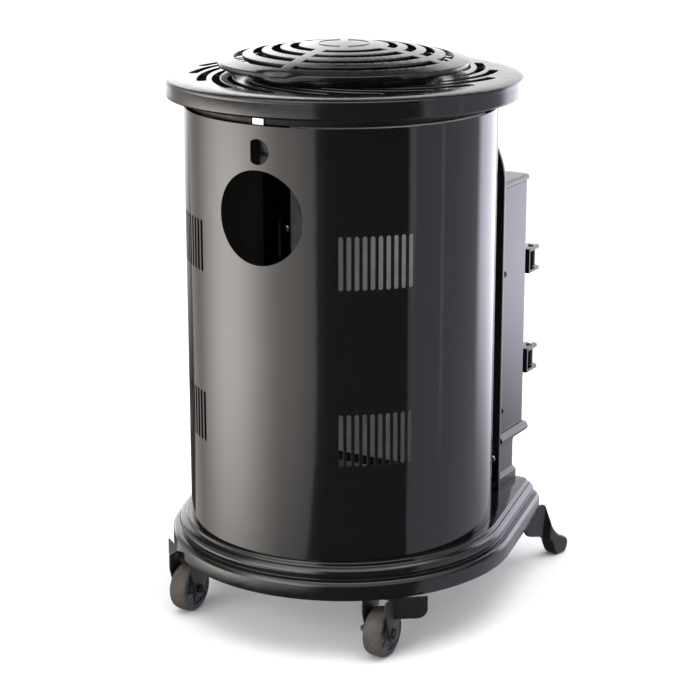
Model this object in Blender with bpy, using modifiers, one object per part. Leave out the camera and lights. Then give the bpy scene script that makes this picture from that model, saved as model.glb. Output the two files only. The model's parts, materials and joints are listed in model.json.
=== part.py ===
"""Portable gas cabinet heater in the shape of an old cast-iron room stove.

A round sheet-steel cover hides the gas bottle at the back. A glazed firebox
stands in front of it, on one cast base with two castors and two cabriole legs.
Metres, +Z up, doors facing -Y, left is -X. Every part hangs from the empty
"body_axis", which stands on the axis of the round cover.
"""

import math

import bmesh
import bpy
from mathutils import Matrix, Vector

# Driving dimensions
AXIS_Y = 0.0378
GAP = 0.0003

COVER_R = 0.200
SHEET = 0.0012
COVER_BOTTOM = 0.1238
COVER_TOP = 0.668
COVER_HALF_ANGLE = 124.5
PANEL_HALF_ANGLE = COVER_HALF_ANGLE + 0.3
PANEL_EDGE_Y = -COVER_R * math.sin(math.radians(PANEL_HALF_ANGLE - 90))

BASE_R = 0.229
BASE_Y = -0.007
BASE_FRONT = -0.245
BASE_CORNER = 0.030
SIDE_TAPER = math.radians(12)
BASE_BOTTOM = 0.080
BASE_TOP = 0.1235
LEDGE_INSET = 0.034
LEDGE_TAPER = math.radians(25)

PLATE_R = 0.2275
PLATE_Y = -0.0075
PLATE_BOTTOM = 0.680
PLATE_UNDER = 0.7010
COLLAR_R = 0.121
SWIRLS = 18

LID_R = 0.160
LID_CROWN = 0.7435
LID_FALL = 0.82
LID_THICK = 0.006
LID_RING_RADII = (0.0625, 0.0860, 0.1095, 0.1340)
LID_SLOT_WIDTH = 0.0110
LID_SPOKE = 0.016

FASCIA_HALF = 0.155
FASCIA_BACK = -0.160
FASCIA_THICK = 0.006
ARCH_SPRING = 0.550
ARCH_TOP = 0.674

BAY_HALF = 0.150
BAY_FRONT = -0.250
BAY_BACK = FASCIA_BACK - FASCIA_THICK - GAP
BAY_BOTTOM = 0.1993
BAY_TOP = 0.541
BAY_WALL = 0.004
BAY_CORNER = 0.010

HINGE_X = -0.141
HINGE_Y = -0.279
HINGE_Z = {"lower": 0.284, "upper": 0.426}
HINGE_PIN_R = 0.0030
HINGE_BORE_R = 0.0034

DOOR_BACK = -0.2513
DOOR_THICK = 0.008
DOOR_X = (-0.126, 0.140)
DOOR_Z = (0.207, 0.518)

CONTROL_Z = 0.600
KNOB_X = -0.050
BUTTON_X = 0.050

CASTOR_X = 0.146
CASTOR_Y = 0.150
WHEEL_R = 0.0315
WHEEL_WIDTH = 0.025
AXLE_R = 0.0040
FORK_TOP = BASE_BOTTOM - GAP

LEG_SPLAY = math.radians(15)
LEG_HIP = (0.172, -0.205)


# Scene, materials and placing


def clear_scene():
    for obj in list(bpy.data.objects):
        bpy.data.objects.remove(obj)


def new_collection(name):
    collection = bpy.data.collections.new(name)
    bpy.context.scene.collection.children.link(collection)
    return collection


def new_empty(name, location, parent=None):
    empty = bpy.data.objects.new(name, None)
    empty.location = location
    empty.parent = parent
    MODEL.objects.link(empty)
    return empty


def new_material(name, colour, roughness, metallic, transmission=0.0):
    material = bpy.data.materials.new(name)
    material.use_nodes = True
    shader = material.node_tree.nodes["Principled BSDF"]
    shader.inputs["Base Color"].default_value = (*colour, 1.0)
    shader.inputs["Roughness"].default_value = roughness
    shader.inputs["Metallic"].default_value = metallic
    shader.inputs["Transmission Weight"].default_value = transmission
    return material


clear_scene()
MODEL = new_collection("cabinet_heater")
CUTTERS = new_collection("cutters")
AXIS = new_empty("body_axis", (0, AXIS_Y, 0))

ENAMEL = new_material("black_enamel", (0.012, 0.012, 0.013), 0.12, 0.0)
CAST = new_material("enamelled_cast_iron", (0.014, 0.014, 0.015), 0.22, 0.0)
BRACKET_PAINT = new_material("black_bracket_paint", (0.03, 0.03, 0.032), 0.45, 0.0)
GALVANISED = new_material("galvanised_steel", (0.62, 0.63, 0.64), 0.38, 1.0)
PLATED = new_material("zinc_plate", (0.75, 0.75, 0.76), 0.25, 1.0)
BRASS = new_material("brass", (0.72, 0.55, 0.26), 0.30, 1.0)
ALUMINIUM = new_material("aluminium_pipe", (0.70, 0.71, 0.72), 0.35, 1.0)
CERAMIC = new_material("fire_ceramic", (0.55, 0.50, 0.44), 0.90, 0.0)
GLASS = new_material("fire_glass", (0.85, 0.88, 0.86), 0.03, 0.0, 0.9)
KNOB_BLACK = new_material("black_phenolic", (0.02, 0.02, 0.02), 0.30, 0.0)
BUTTON_RED = new_material("igniter_red", (0.35, 0.03, 0.02), 0.35, 0.0)
TYRE_BROWN = new_material("tyre_rubber", (0.16, 0.13, 0.11), 0.75, 0.0)
HUB_GREY = new_material("hub_plastic", (0.07, 0.08, 0.09), 0.45, 0.0)


def place(obj, material, parent=None):
    """Adds a finished part to the model, hanging from the body axis or from an empty on it."""
    obj.data.materials.clear()
    obj.data.materials.append(material)
    obj.parent = parent or AXIS
    MODEL.objects.link(obj)
    return obj


def helper(obj, parent=None):
    """Adds a cutter, or a piece that a Boolean joins to a part."""
    obj.parent = parent or AXIS
    obj.hide_render = True
    obj.display_type = "WIRE"
    CUTTERS.objects.link(obj)
    return obj


def boolean(obj, other, operation="DIFFERENCE"):
    modifier = obj.modifiers.new(operation.lower() + "_" + other.name, "BOOLEAN")
    modifier.operation = operation
    modifier.object = other


# Shapes


def mesh_object(name, bm):
    bmesh.ops.recalc_face_normals(bm, faces=bm.faces)
    mesh = bpy.data.meshes.new(name)
    bm.to_mesh(mesh)
    bm.free()
    mesh.shade_smooth()
    mesh.set_sharp_from_angle(angle=math.radians(35))
    return bpy.data.objects.new(name, mesh)


def arc(centre, radius, start, end, steps):
    """Points on an arc, both ends included. Angles are in degrees from +X, anticlockwise."""
    turns = [math.radians(start + (end - start) * i / steps) for i in range(steps + 1)]
    return [(centre[0] + radius * math.cos(t), centre[1] + radius * math.sin(t)) for t in turns]


def rectangle(x, y, corner=0.0, steps=4):
    """Outline of the rectangle between the pairs x and y, with rounded corners."""
    if not corner:
        return [(x[0], y[0]), (x[1], y[0]), (x[1], y[1]), (x[0], y[1])]
    centres = [(x[1], y[0], -1, 1), (x[1], y[1], -1, -1), (x[0], y[1], 1, -1), (x[0], y[0], 1, 1)]
    points = []
    for turn, (cx, cy, sx, sy) in enumerate(centres):
        centre = (cx + sx * corner, cy + sy * corner)
        points += arc(centre, corner, 90 * turn - 90, 90 * turn, steps)
    return points


def prism(bm, outline, low, high, matrix=None):
    """Adds the solid over a flat outline, from low to high along its own Z axis."""
    made = [bm.verts.new((x, y, low)) for x, y in outline]
    face = bm.faces.new(made)
    grown = bmesh.ops.extrude_face_region(bm, geom=[face])["geom"]
    made_high = [v for v in grown if isinstance(v, bmesh.types.BMVert)]
    bmesh.ops.translate(bm, verts=made_high, vec=(0, 0, high - low))
    if matrix:
        bmesh.ops.transform(bm, matrix=matrix, verts=made + made_high)


def prism_object(name, outline, low, high, matrix=None):
    bm = bmesh.new()
    prism(bm, outline, low, high, matrix)
    return mesh_object(name, bm)


def flat_plate(name, outlines, thickness):
    """A plate from a filled 2D curve: the first outline is its edge, the others are holes."""
    curve = bpy.data.curves.new(name + "_outline", "CURVE")
    curve.dimensions = "2D"
    curve.fill_mode = "BOTH"
    curve.extrude = thickness / 2
    for outline in outlines:
        spline = curve.splines.new("POLY")
        spline.points.add(len(outline) - 1)
        spline.use_cyclic_u = True
        for point, (x, y) in zip(spline.points, outline):
            point.co = (x, y, 0, 1)
    guide = bpy.data.objects.new(name + "_outline", curve)
    CUTTERS.objects.link(guide)
    graph = bpy.context.evaluated_depsgraph_get()
    mesh = bpy.data.meshes.new_from_object(guide.evaluated_get(graph))
    bpy.data.objects.remove(guide)
    bm = bmesh.new()
    bm.from_mesh(mesh)
    bpy.data.meshes.remove(mesh)
    bmesh.ops.remove_doubles(bm, verts=bm.verts, dist=0.00001)
    return mesh_object(name, bm)


def upright(obj, y):
    """Stands a plate in the XZ plane: its drawing's x and y become x and z, its middle is at y."""
    obj.rotation_euler = (math.pi / 2, 0, 0)
    obj.location = (0, y, 0)
    return obj


def side_on(x=0.0):
    """The matrix of a drawing whose x and y are Y and Z, and whose thickness runs along X from x."""
    return Matrix(((0, 0, 1, x), (1, 0, 0, 0), (0, 1, 0, 0), (0, 0, 0, 1)))


def turned(name, profile, steps, closed=True, degrees=360):
    """A Screw of the profile (radius, z), which runs down its outer side."""
    mesh = bpy.data.meshes.new(name)
    edges = [(i, i + 1) for i in range(len(profile) - 1)]
    if closed:
        edges.append((len(profile) - 1, 0))
    mesh.from_pydata([(r, 0, z) for r, z in profile], edges, [])
    obj = bpy.data.objects.new(name, mesh)
    screw = obj.modifiers.new("turn", "SCREW")
    screw.steps = steps
    screw.render_steps = steps
    screw.angle = math.radians(degrees)
    screw.use_merge_vertices = degrees == 360
    screw.merge_threshold = 0.00001
    screw.use_smooth_shade = True
    return obj


def turned_solid(name, profile, steps):
    """A turned solid whose profile starts and ends on the axis."""
    return turned(name, profile, steps, closed=False)


def along_y(obj, location, facing=-1):
    """Lays a turned part's axis along Y; its own +Z points towards facing."""
    obj.rotation_euler = (-facing * math.pi / 2, 0, 0)
    obj.location = location
    return obj


def along_x(obj, location, facing=1):
    obj.rotation_euler = (0, facing * math.pi / 2, 0)
    obj.location = location
    return obj


def rod_profile(radius, low, high, chamfer=0.0):
    """Half outline of a plain rod along Z."""
    if not chamfer:
        return [(0, high), (radius, high), (radius, low), (0, low)]
    return [(0, high), (radius - chamfer, high), (radius, high - chamfer), (radius, low), (0, low)]


def loft(name, rings, closed=True):
    """Skins rings of equally many points (x, y, z); closed joins the last ring to the first."""
    bm = bmesh.new()
    loops = [[bm.verts.new(point) for point in ring] for ring in rings]
    pairs = list(zip(loops, loops[1:] + loops[:1])) if closed else list(zip(loops, loops[1:]))
    for first, second in pairs:
        count = len(first)
        for i in range(count):
            k = (i + 1) % count
            bm.faces.new((first[i], first[k], second[k], second[i]))
    if not closed:
        bm.faces.new(loops[0])
        bm.faces.new(loops[-1])
    return mesh_object(name, bm)


def tube(name, points, radius):
    curve = bpy.data.curves.new(name, "CURVE")
    curve.dimensions = "3D"
    curve.bevel_depth = radius
    curve.bevel_resolution = 2
    curve.use_fill_caps = True
    spline = curve.splines.new("POLY")
    spline.points.add(len(points) - 1)
    for point, co in zip(spline.points, points):
        point.co = (*co, 1)
    return bpy.data.objects.new(name, curve)


def rounded_route(corners, radius, steps=4):
    """A route through the corners, with each bend as an arc."""
    route = [Vector(corners[0])]
    for before, corner, after in zip(corners, corners[1:], corners[2:]):
        corner = Vector(corner)
        back = (Vector(before) - corner).normalized() * radius
        onward = (Vector(after) - corner).normalized() * radius
        for i in range(steps + 1):
            turn = math.pi / 2 * i / steps
            route.append(corner + back * (1 - math.sin(turn)) + onward * (1 - math.cos(turn)))
    return route + [Vector(corners[-1])]


# Base, legs and castors


def base_ring(inset, z, taper=SIDE_TAPER):
    """Ring in plan like the base: a round back, sides that taper to the front, rounded front corners."""
    radius = BASE_R - inset
    corner = max(BASE_CORNER - inset, 0.006)
    turn = math.degrees(taper)
    corner_y = BASE_FRONT + inset + corner
    reach = radius - corner - math.sin(taper) * BASE_Y
    corner_x = (reach + math.sin(taper) * corner_y) / math.cos(taper)
    points = arc((0, BASE_Y), radius, -turn, 180 + turn, 34)
    points += arc((-corner_x, corner_y), corner, 180 + turn, 270, 4)
    points += arc((corner_x, corner_y), corner, 270, 360 - turn, 4)
    return [(x, y, z) for x, y in points]


def make_base():
    outer = [(0, BASE_BOTTOM), (0, 0.0985), (0.002, 0.1025), (0.006, 0.104), (0.009, 0.104)]
    torus = [(0.0095, 0.1075), (0.0090, 0.1120), (0.0105, 0.1165), (0.0145, 0.1190)]
    lip = [(0.0175, 0.1190), (0.0190, BASE_TOP)]
    under = [(0.0205, 0.1140), (0.0060, 0.0985), (0.0060, BASE_BOTTOM)]
    rings = [base_ring(inset, z) for inset, z in outer + torus + lip]
    rings += [base_ring(LEDGE_INSET, z, LEDGE_TAPER) for z in (BASE_TOP, 0.1185)]
    rings += [base_ring(inset, z) for inset, z in under]
    place(loft("base_casting", rings), CAST)


def make_floor_pan():
    """Pressed tray that carries the bottle; its flange lies under the ledge of the base."""
    thick = 0.0015
    floor = 0.083
    flange = 0.1134
    outside = [(0.0363, floor - thick), (0.0345, flange - thick), (0.026, flange - thick)]
    inside = [(0.026, flange), (0.0360, flange), (0.0378, floor)]
    rings = [base_ring(inset, z, LEDGE_TAPER) for inset, z in outside + inside]
    place(loft("floor_pan", rings, closed=False), GALVANISED)


def leg_outline():
    """Side view of a leg: x is the distance out from the hip, y the height."""
    top = FORK_TOP
    front = [(0.046, top), (0.049, 0.066), (0.053, 0.052), (0.060, 0.038), (0.070, 0.028)]
    toe = [(0.083, 0.023), (0.090, 0.016), (0.089, 0.006), (0.082, 0.0)]
    heel = [(0.066, 0.0), (0.060, 0.008), (0.054, 0.026), (0.012, 0.036), (-0.002, 0.055)]
    return front + toe + heel + [(-0.002, top)]


def make_leg(side, sign):
    hip = Vector((sign * LEG_HIP[0], LEG_HIP[1], 0))
    out = Vector((sign * math.sin(LEG_SPLAY), -math.cos(LEG_SPLAY), 0))
    across = out.cross(Vector((0, 0, 1)))
    matrix = Matrix.Translation(hip) @ Matrix((out, (0, 0, 1), across)).transposed().to_4x4()
    leg = prism_object("leg_" + side, leg_outline(), -0.011, 0.011)
    leg.data.transform(matrix)
    bevel = leg.modifiers.new("soften", "BEVEL")
    bevel.width = 0.002
    bevel.segments = 1
    place(leg, CAST)


def make_castor(side, sign):
    inner = WHEEL_WIDTH / 2 + 0.0025
    outer = inner + 0.0025
    centre = sign * CASTOR_X

    def cheek(name, low, high):
        foot = arc((CASTOR_Y, WHEEL_R), 0.012, 200, 340, 6)
        outline = foot + [(CASTOR_Y + 0.030, 0.062), (CASTOR_Y + 0.030, FORK_TOP)]
        outline += [(CASTOR_Y - 0.020, FORK_TOP), (CASTOR_Y - 0.020, 0.062)]
        return prism_object(name, outline, low, high, side_on(centre))

    bracket = cheek("castor_bracket_" + side, sign * inner, sign * outer)
    inboard = helper(cheek("inboard_cheek_" + side, -sign * outer, -sign * inner))
    boolean(bracket, inboard, "UNION")

    bridge_x = (centre - outer, centre + outer)
    bridge_y = (CASTOR_Y - 0.020, CASTOR_Y + 0.030)
    bridge = prism_object("bridge_" + side, rectangle(bridge_x, bridge_y), FORK_TOP - 0.0025, FORK_TOP)
    boolean(bracket, helper(bridge), "UNION")

    ear_outline = [(0.0, 0.051)] + arc((0.0315, 0.063), 0.012, 270, 360, 4)
    ear_outline += [(0.0435, FORK_TOP), (0.0, FORK_TOP)]
    run = Vector((sign * 0.786, -0.618, 0)).normalized()
    across = run.cross(Vector((0, 0, 1)))
    start = Vector((sign * 0.1620, 0.1500, 0))
    ear_matrix = Matrix.Translation(start) @ Matrix((run, (0, 0, 1), across)).transposed().to_4x4()
    ear = prism_object("ear_" + side, ear_outline, -0.00125, 0.00125, ear_matrix)
    boolean(bracket, helper(ear), "UNION")

    bore = turned_solid("axle_bore_" + side, rod_profile(AXLE_R + 0.0005, -0.03, 0.03), 16)
    boolean(bracket, helper(along_x(bore, (centre, CASTOR_Y, WHEEL_R))))
    place(bracket, BRACKET_PAINT)

    head = [(0, 0.0215), (0.0050, 0.0215), (0.0065, 0.0200), (0.0065, 0.0180)]
    tail = [(AXLE_R, 0.0180), (AXLE_R, -0.0190), (0.0060, -0.0190), (0.0060, -0.0215)]
    end = [(AXLE_R - 0.0005, -0.0215), (AXLE_R - 0.0005, -0.0275), (0, -0.0275)]
    axle = turned_solid("castor_axle_" + side, head + tail + end, 16)
    place(along_x(axle, (centre, CASTOR_Y, WHEEL_R), sign), PLATED)

    wheel = new_empty("wheel_axis_" + side, (centre, CASTOR_Y, WHEEL_R), AXIS)
    half = WHEEL_WIDTH / 2
    tread = [(WHEEL_R - 0.004, half), (WHEEL_R - 0.001, half - 0.003), (WHEEL_R, half - 0.008)]
    tread += [(r, -z) for r, z in reversed(tread)]
    tyre = turned("castor_tyre_" + side, [(0.0223, half)] + tread + [(0.0223, -half)], 32)
    place(along_x(tyre, (0, 0, 0)), TYRE_BROWN, wheel)
    face = [(0.0100, half), (0.0115, half - 0.0045), (0.0190, half - 0.0045), (0.0215, half - 0.001)]
    hub_profile = [(0.0047, half)] + face + [(r, -z) for r, z in reversed(face)] + [(0.0047, -half)]
    hub = turned("castor_hub_" + side, hub_profile, 20)
    place(along_x(hub, (0, 0, 0)), HUB_GREY, wheel)


# Round body


def slot_outline(width, height, steps=3):
    """Upright slot with round ends, centred on the origin."""
    reach = height / 2 - width / 2
    return arc((0, reach), width / 2, 0, 180, steps) + arc((0, -reach), width / 2, 180, 360, steps)


def radial_matrix(degrees, z):
    """A drawing that faces out of the round cover, at an angle from the rear centre line."""
    turn = Matrix.Rotation(math.radians(degrees), 4, "Z")
    face_out = Matrix(((-1, 0, 0, 0), (0, 0, 1, 0), (0, 1, 0, z), (0, 0, 0, 1)))
    return turn @ face_out


def make_rear_cover():
    degrees = 2 * COVER_HALF_ANGLE
    line = [(COVER_R, COVER_TOP), (COVER_R, COVER_BOTTOM)]
    cover = turned("rear_cover", line, 40, closed=False, degrees=degrees)
    cover.rotation_euler = (0, 0, math.radians(90 - COVER_HALF_ANGLE))
    skin = cover.modifiers.new("sheet", "SOLIDIFY")
    skin.thickness = SHEET
    skin.offset = -1
    bm = bmesh.new()
    depth = (COVER_R - 0.008, COVER_R + 0.006)
    for z in (0.2818, 0.5048):
        for sign in (-1, 1):
            for i in range(10):
                place_at = radial_matrix(sign * (30 + 2.8 * i), z)
                prism(bm, slot_outline(0.0055, 0.0665), depth[0], depth[1], place_at)
    prism(bm, arc((0, 0), 0.0585, 0, 345, 23), *depth, radial_matrix(0, 0.555))
    prism(bm, arc((0.0005, 0), 0.0155, 128, -128, 14), *depth, radial_matrix(0, 0.636))
    slots = helper(mesh_object("cover_slots", bm))
    boolean(cover, slots)
    place(cover, ENAMEL)


def make_side_panel(side, sign):
    """Fixed sheet between the fascia and the edge of the rear cover."""
    start = math.degrees(math.asin((FASCIA_BACK + GAP) / COVER_R))
    wall = arc((0, 0), COVER_R, start, 90 - PANEL_HALF_ANGLE, 6)
    flange = [(0.148, PANEL_EDGE_Y), (0.148, PANEL_EDGE_Y - SHEET)]
    bend = math.degrees(math.asin((PANEL_EDGE_Y - SHEET) / (COVER_R - SHEET)))
    inside = arc((0, 0), COVER_R - SHEET, bend, start, 6)
    outline = [(sign * x, y) for x, y in wall + flange + inside]
    panel = flat_plate("side_panel_" + side, [outline], PLATE_UNDER - GAP - COVER_BOTTOM)
    panel.location = (0, 0, (PLATE_UNDER - GAP + COVER_BOTTOM) / 2)
    place(panel, ENAMEL)


def make_divider():
    outline = rectangle((-0.158, 0.158), (0.155, PLATE_UNDER - GAP))
    hole = arc((KNOB_X, CONTROL_Z), 0.0080, 0, 345, 23)
    divider = flat_plate("divider_panel", [outline, hole], 0.001)
    place(upright(divider, PANEL_EDGE_Y - SHEET - GAP - 0.0005), GALVANISED)
    for side, sign in (("left", -1), ("right", 1)):
        screw = turned_solid("divider_screw_" + side, screw_profile(), 10)
        place(along_y(screw, (sign * 0.153, PANEL_EDGE_Y + GAP, 0.465), facing=1), PLATED)


def screw_profile(radius=0.0042, height=0.0026):
    """Pan head, standing on z = 0."""
    return [(0, height), (radius * 0.6, height), (radius, height * 0.45), (radius, 0), (0, 0)]


def make_fascia():
    half = FASCIA_HALF
    arch = []
    for i in range(25):
        turn = math.pi * i / 24
        arch.append((half * math.cos(turn), ARCH_SPRING + (ARCH_TOP - ARCH_SPRING) * math.sin(turn)))
    outline = [(-half, COVER_BOTTOM), (half, COVER_BOTTOM)] + arch
    window = rectangle((-0.100, 0.100), (0.215, 0.525), 0.008, 3)
    knob_hole = arc((KNOB_X, CONTROL_Z), 0.0060, 0, 337.5, 15)
    button_hole = arc((BUTTON_X, CONTROL_Z), 0.0085, 0, 337.5, 15)
    fascia = flat_plate("fascia", [outline, window, knob_hole, button_hole], FASCIA_THICK)
    place(upright(fascia, FASCIA_BACK - FASCIA_THICK / 2), CAST)
    for side, sign in (("left", -1), ("right", 1)):
        screw = turned_solid("fascia_screw_" + side, screw_profile(), 10)
        place(along_y(screw, (sign * 0.146, FASCIA_BACK + GAP, 0.168), facing=1), PLATED)


def make_spandrel():
    """Sheet that closes the front above the arch and ties the side panels together."""
    high = PLATE_UNDER - GAP
    outline = rectangle((-0.1195, 0.1195), (0.535, high))
    knob_hole = arc((KNOB_X, CONTROL_Z), 0.0060, 0, 337.5, 15)
    button_hole = arc((BUTTON_X, CONTROL_Z), 0.0085, 0, 337.5, 15)
    panel = flat_plate("spandrel_panel", [outline, knob_hole, button_hole], 0.001)
    place(upright(panel, FASCIA_BACK + GAP + 0.0005), ENAMEL)


def make_cover_catch():
    """Spring strip under the top plate; it snaps behind the finger hole of the rear cover."""
    top = PLATE_UNDER - GAP
    outline = [(0.180, top), (0.1965, top), (0.1965, 0.630), (0.1935, 0.616)]
    outline += [(0.1925, 0.6165), (0.1955, 0.6302), (0.1955, top - 0.001), (0.180, top - 0.001)]
    catch = prism_object("cover_catch", outline, -0.0077, 0.0077, side_on())
    place(catch, PLATED)


# Top plate and lid


def dome(radius):
    return LID_CROWN - LID_FALL * radius * radius


def swirl_outline(end_degrees):
    """A slot that sweeps out from under the lid and widens to a round outer end."""
    sweep = 44
    steps = 5
    inner = (0.150, 0.0022)
    outer = (0.1905, 0.0062)
    left = []
    right = []
    for i in range(steps + 1):
        along = i / steps
        radius = inner[0] + (outer[0] - inner[0]) * along
        half = inner[1] + (outer[1] - inner[1]) * math.sqrt(along)
        turn = math.radians(end_degrees - sweep * (1 - along))
        left.append((radius + half, turn))
        right.append((radius - half, turn))
    tip = (outer[0], math.radians(end_degrees + 2.0))
    polar = right + [tip] + left[::-1]
    return [(r * math.cos(t), r * math.sin(t)) for r, t in polar]


def make_top_plate():
    collar_top = dome(COLLAR_R) - LID_THICK - 0.0020
    top = [(0.115, collar_top), (COLLAR_R, collar_top), (COLLAR_R, 0.7085), (0.190, 0.7065)]
    rim = [(0.2240, 0.7035), (0.2268, 0.7020), (PLATE_R, 0.6995), (PLATE_R, 0.6815)]
    under = [(0.2262, PLATE_BOTTOM), (0.2225, PLATE_BOTTOM), (0.2215, 0.6930), (0.2170, PLATE_UNDER)]
    plate = turned("top_plate", top + rim + under + [(0.115, PLATE_UNDER)], 44)
    plate.location = (0, PLATE_Y, 0)
    bm = bmesh.new()
    for i in range(SWIRLS):
        prism(bm, swirl_outline(53 + 360 / SWIRLS * i), 0.69, 0.715)
    swirls = helper(mesh_object("swirl_slots", bm))
    swirls.location = (0, PLATE_Y, 0)
    boolean(plate, swirls)
    place(plate, CAST)


def ring_slot_outline(radius, quarter):
    """A quarter of a ring, ended by the straight sides of two spokes."""
    inner = radius - LID_SLOT_WIDTH / 2
    outer = radius + LID_SLOT_WIDTH / 2
    short = math.degrees(math.asin(LID_SPOKE / 2 / inner))
    long = math.degrees(math.asin(LID_SPOKE / 2 / outer))
    start = 90 * quarter
    return arc((0, 0), outer, start + long, start + 90 - long, 5) + arc(
        (0, 0), inner, start + 90 - short, start + short, 5
    )


def make_lid():
    breaks = (0.0475, 0.095, 0.143, 0.156)
    top = [(0, dome(0))] + [(r, dome(r)) for r in breaks]
    rim = [(LID_R, dome(LID_R) - 0.0015), (LID_R, 0.7155), (0.1555, 0.7155)]
    under = [(r, dome(r) - LID_THICK) for r in (0.151, 0.095)]
    lid = turned_solid("grille_lid", top + rim + under + [(0, dome(0) - LID_THICK)], 40)
    lid.location = (0, PLATE_Y, 0)
    bm = bmesh.new()
    for radius in LID_RING_RADII:
        for quarter in range(4):
            prism(bm, ring_slot_outline(radius, quarter), 0.70, 0.76)
    scoop = Matrix.Translation((0, LID_R + 0.004, dome(LID_R) + 0.0035)) @ Matrix.Diagonal(
        (0.034, 0.017, 0.0085, 1)
    )
    bmesh.ops.create_uvsphere(bm, u_segments=12, v_segments=6, radius=1, matrix=scoop)
    slots = helper(mesh_object("lid_slots", bm))
    slots.location = (0, PLATE_Y, 0)
    boolean(lid, slots)
    place(lid, CAST)


# Firebox bay


def bay_outline(half, front, corner, back=BAY_BACK, steps=4):
    """Plan of the bay: square at the back, rounded at the front corners."""
    left = arc((-half + corner, front + corner), corner, 180, 270, steps)
    right = arc((half - corner, front + corner), corner, 270, 360, steps)
    return [(half, back), (-half, back)] + left + right


def make_plinth():
    """Cast plinth under the bay, with its mouldings, open in the middle."""
    sections = [(0.1505, -0.2345, COVER_BOTTOM), (0.1505, -0.2345, 0.1345), (0.1465, -0.2310, 0.1390)]
    sections += [(0.1465, -0.2310, 0.1790), (0.1500, -0.2500, 0.1840), (0.1560, -0.2570, 0.1868)]
    sections += [(0.1570, -0.2585, 0.1912), (0.1555, -0.2570, 0.1958), (0.1500, -0.2510, 0.1990)]
    inside = [(0.1380, -0.2205, 0.1990), (0.1380, -0.2205, COVER_BOTTOM)]
    rings = []
    for half, front, z in sections:
        rings.append([(x, y, z) for x, y in bay_outline(half, front, 0.012)])
    for half, front, z in inside:
        rings.append([(x, y, z) for x, y in bay_outline(half, front, 0.012, BAY_BACK - 0.012)])
    place(loft("plinth", rings), CAST)


def make_bay():
    outer = bay_outline(BAY_HALF, BAY_FRONT, BAY_CORNER)
    inner = bay_outline(BAY_HALF - BAY_WALL, BAY_FRONT + BAY_WALL, BAY_CORNER - BAY_WALL)
    outline = outer[1:] + outer[:1] + inner[:1] + inner[:0:-1]
    housing = flat_plate("firebox_housing", [outline], BAY_TOP - BAY_BOTTOM)
    housing.location = (0, 0, (BAY_TOP + BAY_BOTTOM) / 2)
    doorway = rectangle((-0.130, 0.130), (0.215, 0.520), 0.006, 3)
    cutter = helper(flat_plate("doorway", [doorway], 0.030))
    upright(cutter, BAY_FRONT)
    boolean(housing, cutter)
    place(housing, ENAMEL)
    for side, sign in (("left", -1), ("right", 1)):
        for level, z in (("lower", 0.232), ("upper", 0.424)):
            screw = turned_solid("housing_screw_" + side + "_" + level, screw_profile(), 10)
            place(along_x(screw, (sign * (BAY_HALF + GAP), -0.176, z), sign), BRACKET_PAINT)


def make_bay_cap():
    """Cast cover of the bay, with a lip turned down over the top of the door."""
    low = BAY_TOP + GAP
    section = [(0.1485, -0.2540, low), (0.1520, -0.2575, low + 0.002), (0.1520, -0.2575, low + 0.0055)]
    section += [(0.1495, -0.2550, low + 0.0075)]
    rings = [[(x, y, z) for x, y in bay_outline(half, front, 0.014)] for half, front, z in section]
    cap = loft("housing_cap", rings, closed=False)
    lip = [(-0.2575, low + 0.004), (-0.2540, low + 0.004), (-0.2540, 0.530), (-0.2562, 0.5215)]
    lip.append((-0.2575, 0.5235))
    boolean(cap, helper(prism_object("cap_lip", lip, -0.140, 0.140, side_on())), "UNION")
    place(cap, CAST)


def make_hinge(level):
    """Fixed lug on the bay, its screw, and the pin that the door's ear turns on."""
    z = HINGE_Z[level]
    back = BAY_FRONT - GAP
    reach = -0.291
    outline = [(back, z - 0.017), (back, z + 0.017), (reach, z + 0.017), (reach, z + 0.013)]
    outline += [(back - 0.003, z + 0.013), (back - 0.003, z - 0.013), (reach, z - 0.013)]
    outline += [(reach, z - 0.017)]
    lug = prism_object("hinge_lug_" + level, outline, -0.011, 0.011, side_on(HINGE_X))
    bore_profile = rod_profile(HINGE_BORE_R, z - 0.03, z + 0.03)
    bore = helper(turned_solid("lug_bore_" + level, bore_profile, 16))
    bore.location = (HINGE_X, HINGE_Y, 0)
    boolean(lug, bore)
    place(lug, CAST)
    screw = turned_solid("hinge_screw_" + level, screw_profile(0.0038), 10)
    place(along_y(screw, (HINGE_X, back - 0.003 - GAP, z)), PLATED)
    head = [(0, z + 0.0205), (0.0030, z + 0.0205), (0.0048, z + 0.0185), (0.0048, z + 0.0174)]
    stem = [(HINGE_PIN_R, z + 0.0174), (HINGE_PIN_R, z - 0.019), (0, z - 0.020)]
    pin = turned_solid("hinge_pin_" + level, head + stem, 16)
    pin.location = (HINGE_X, HINGE_Y, 0)
    place(pin, PLATED)


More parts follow.
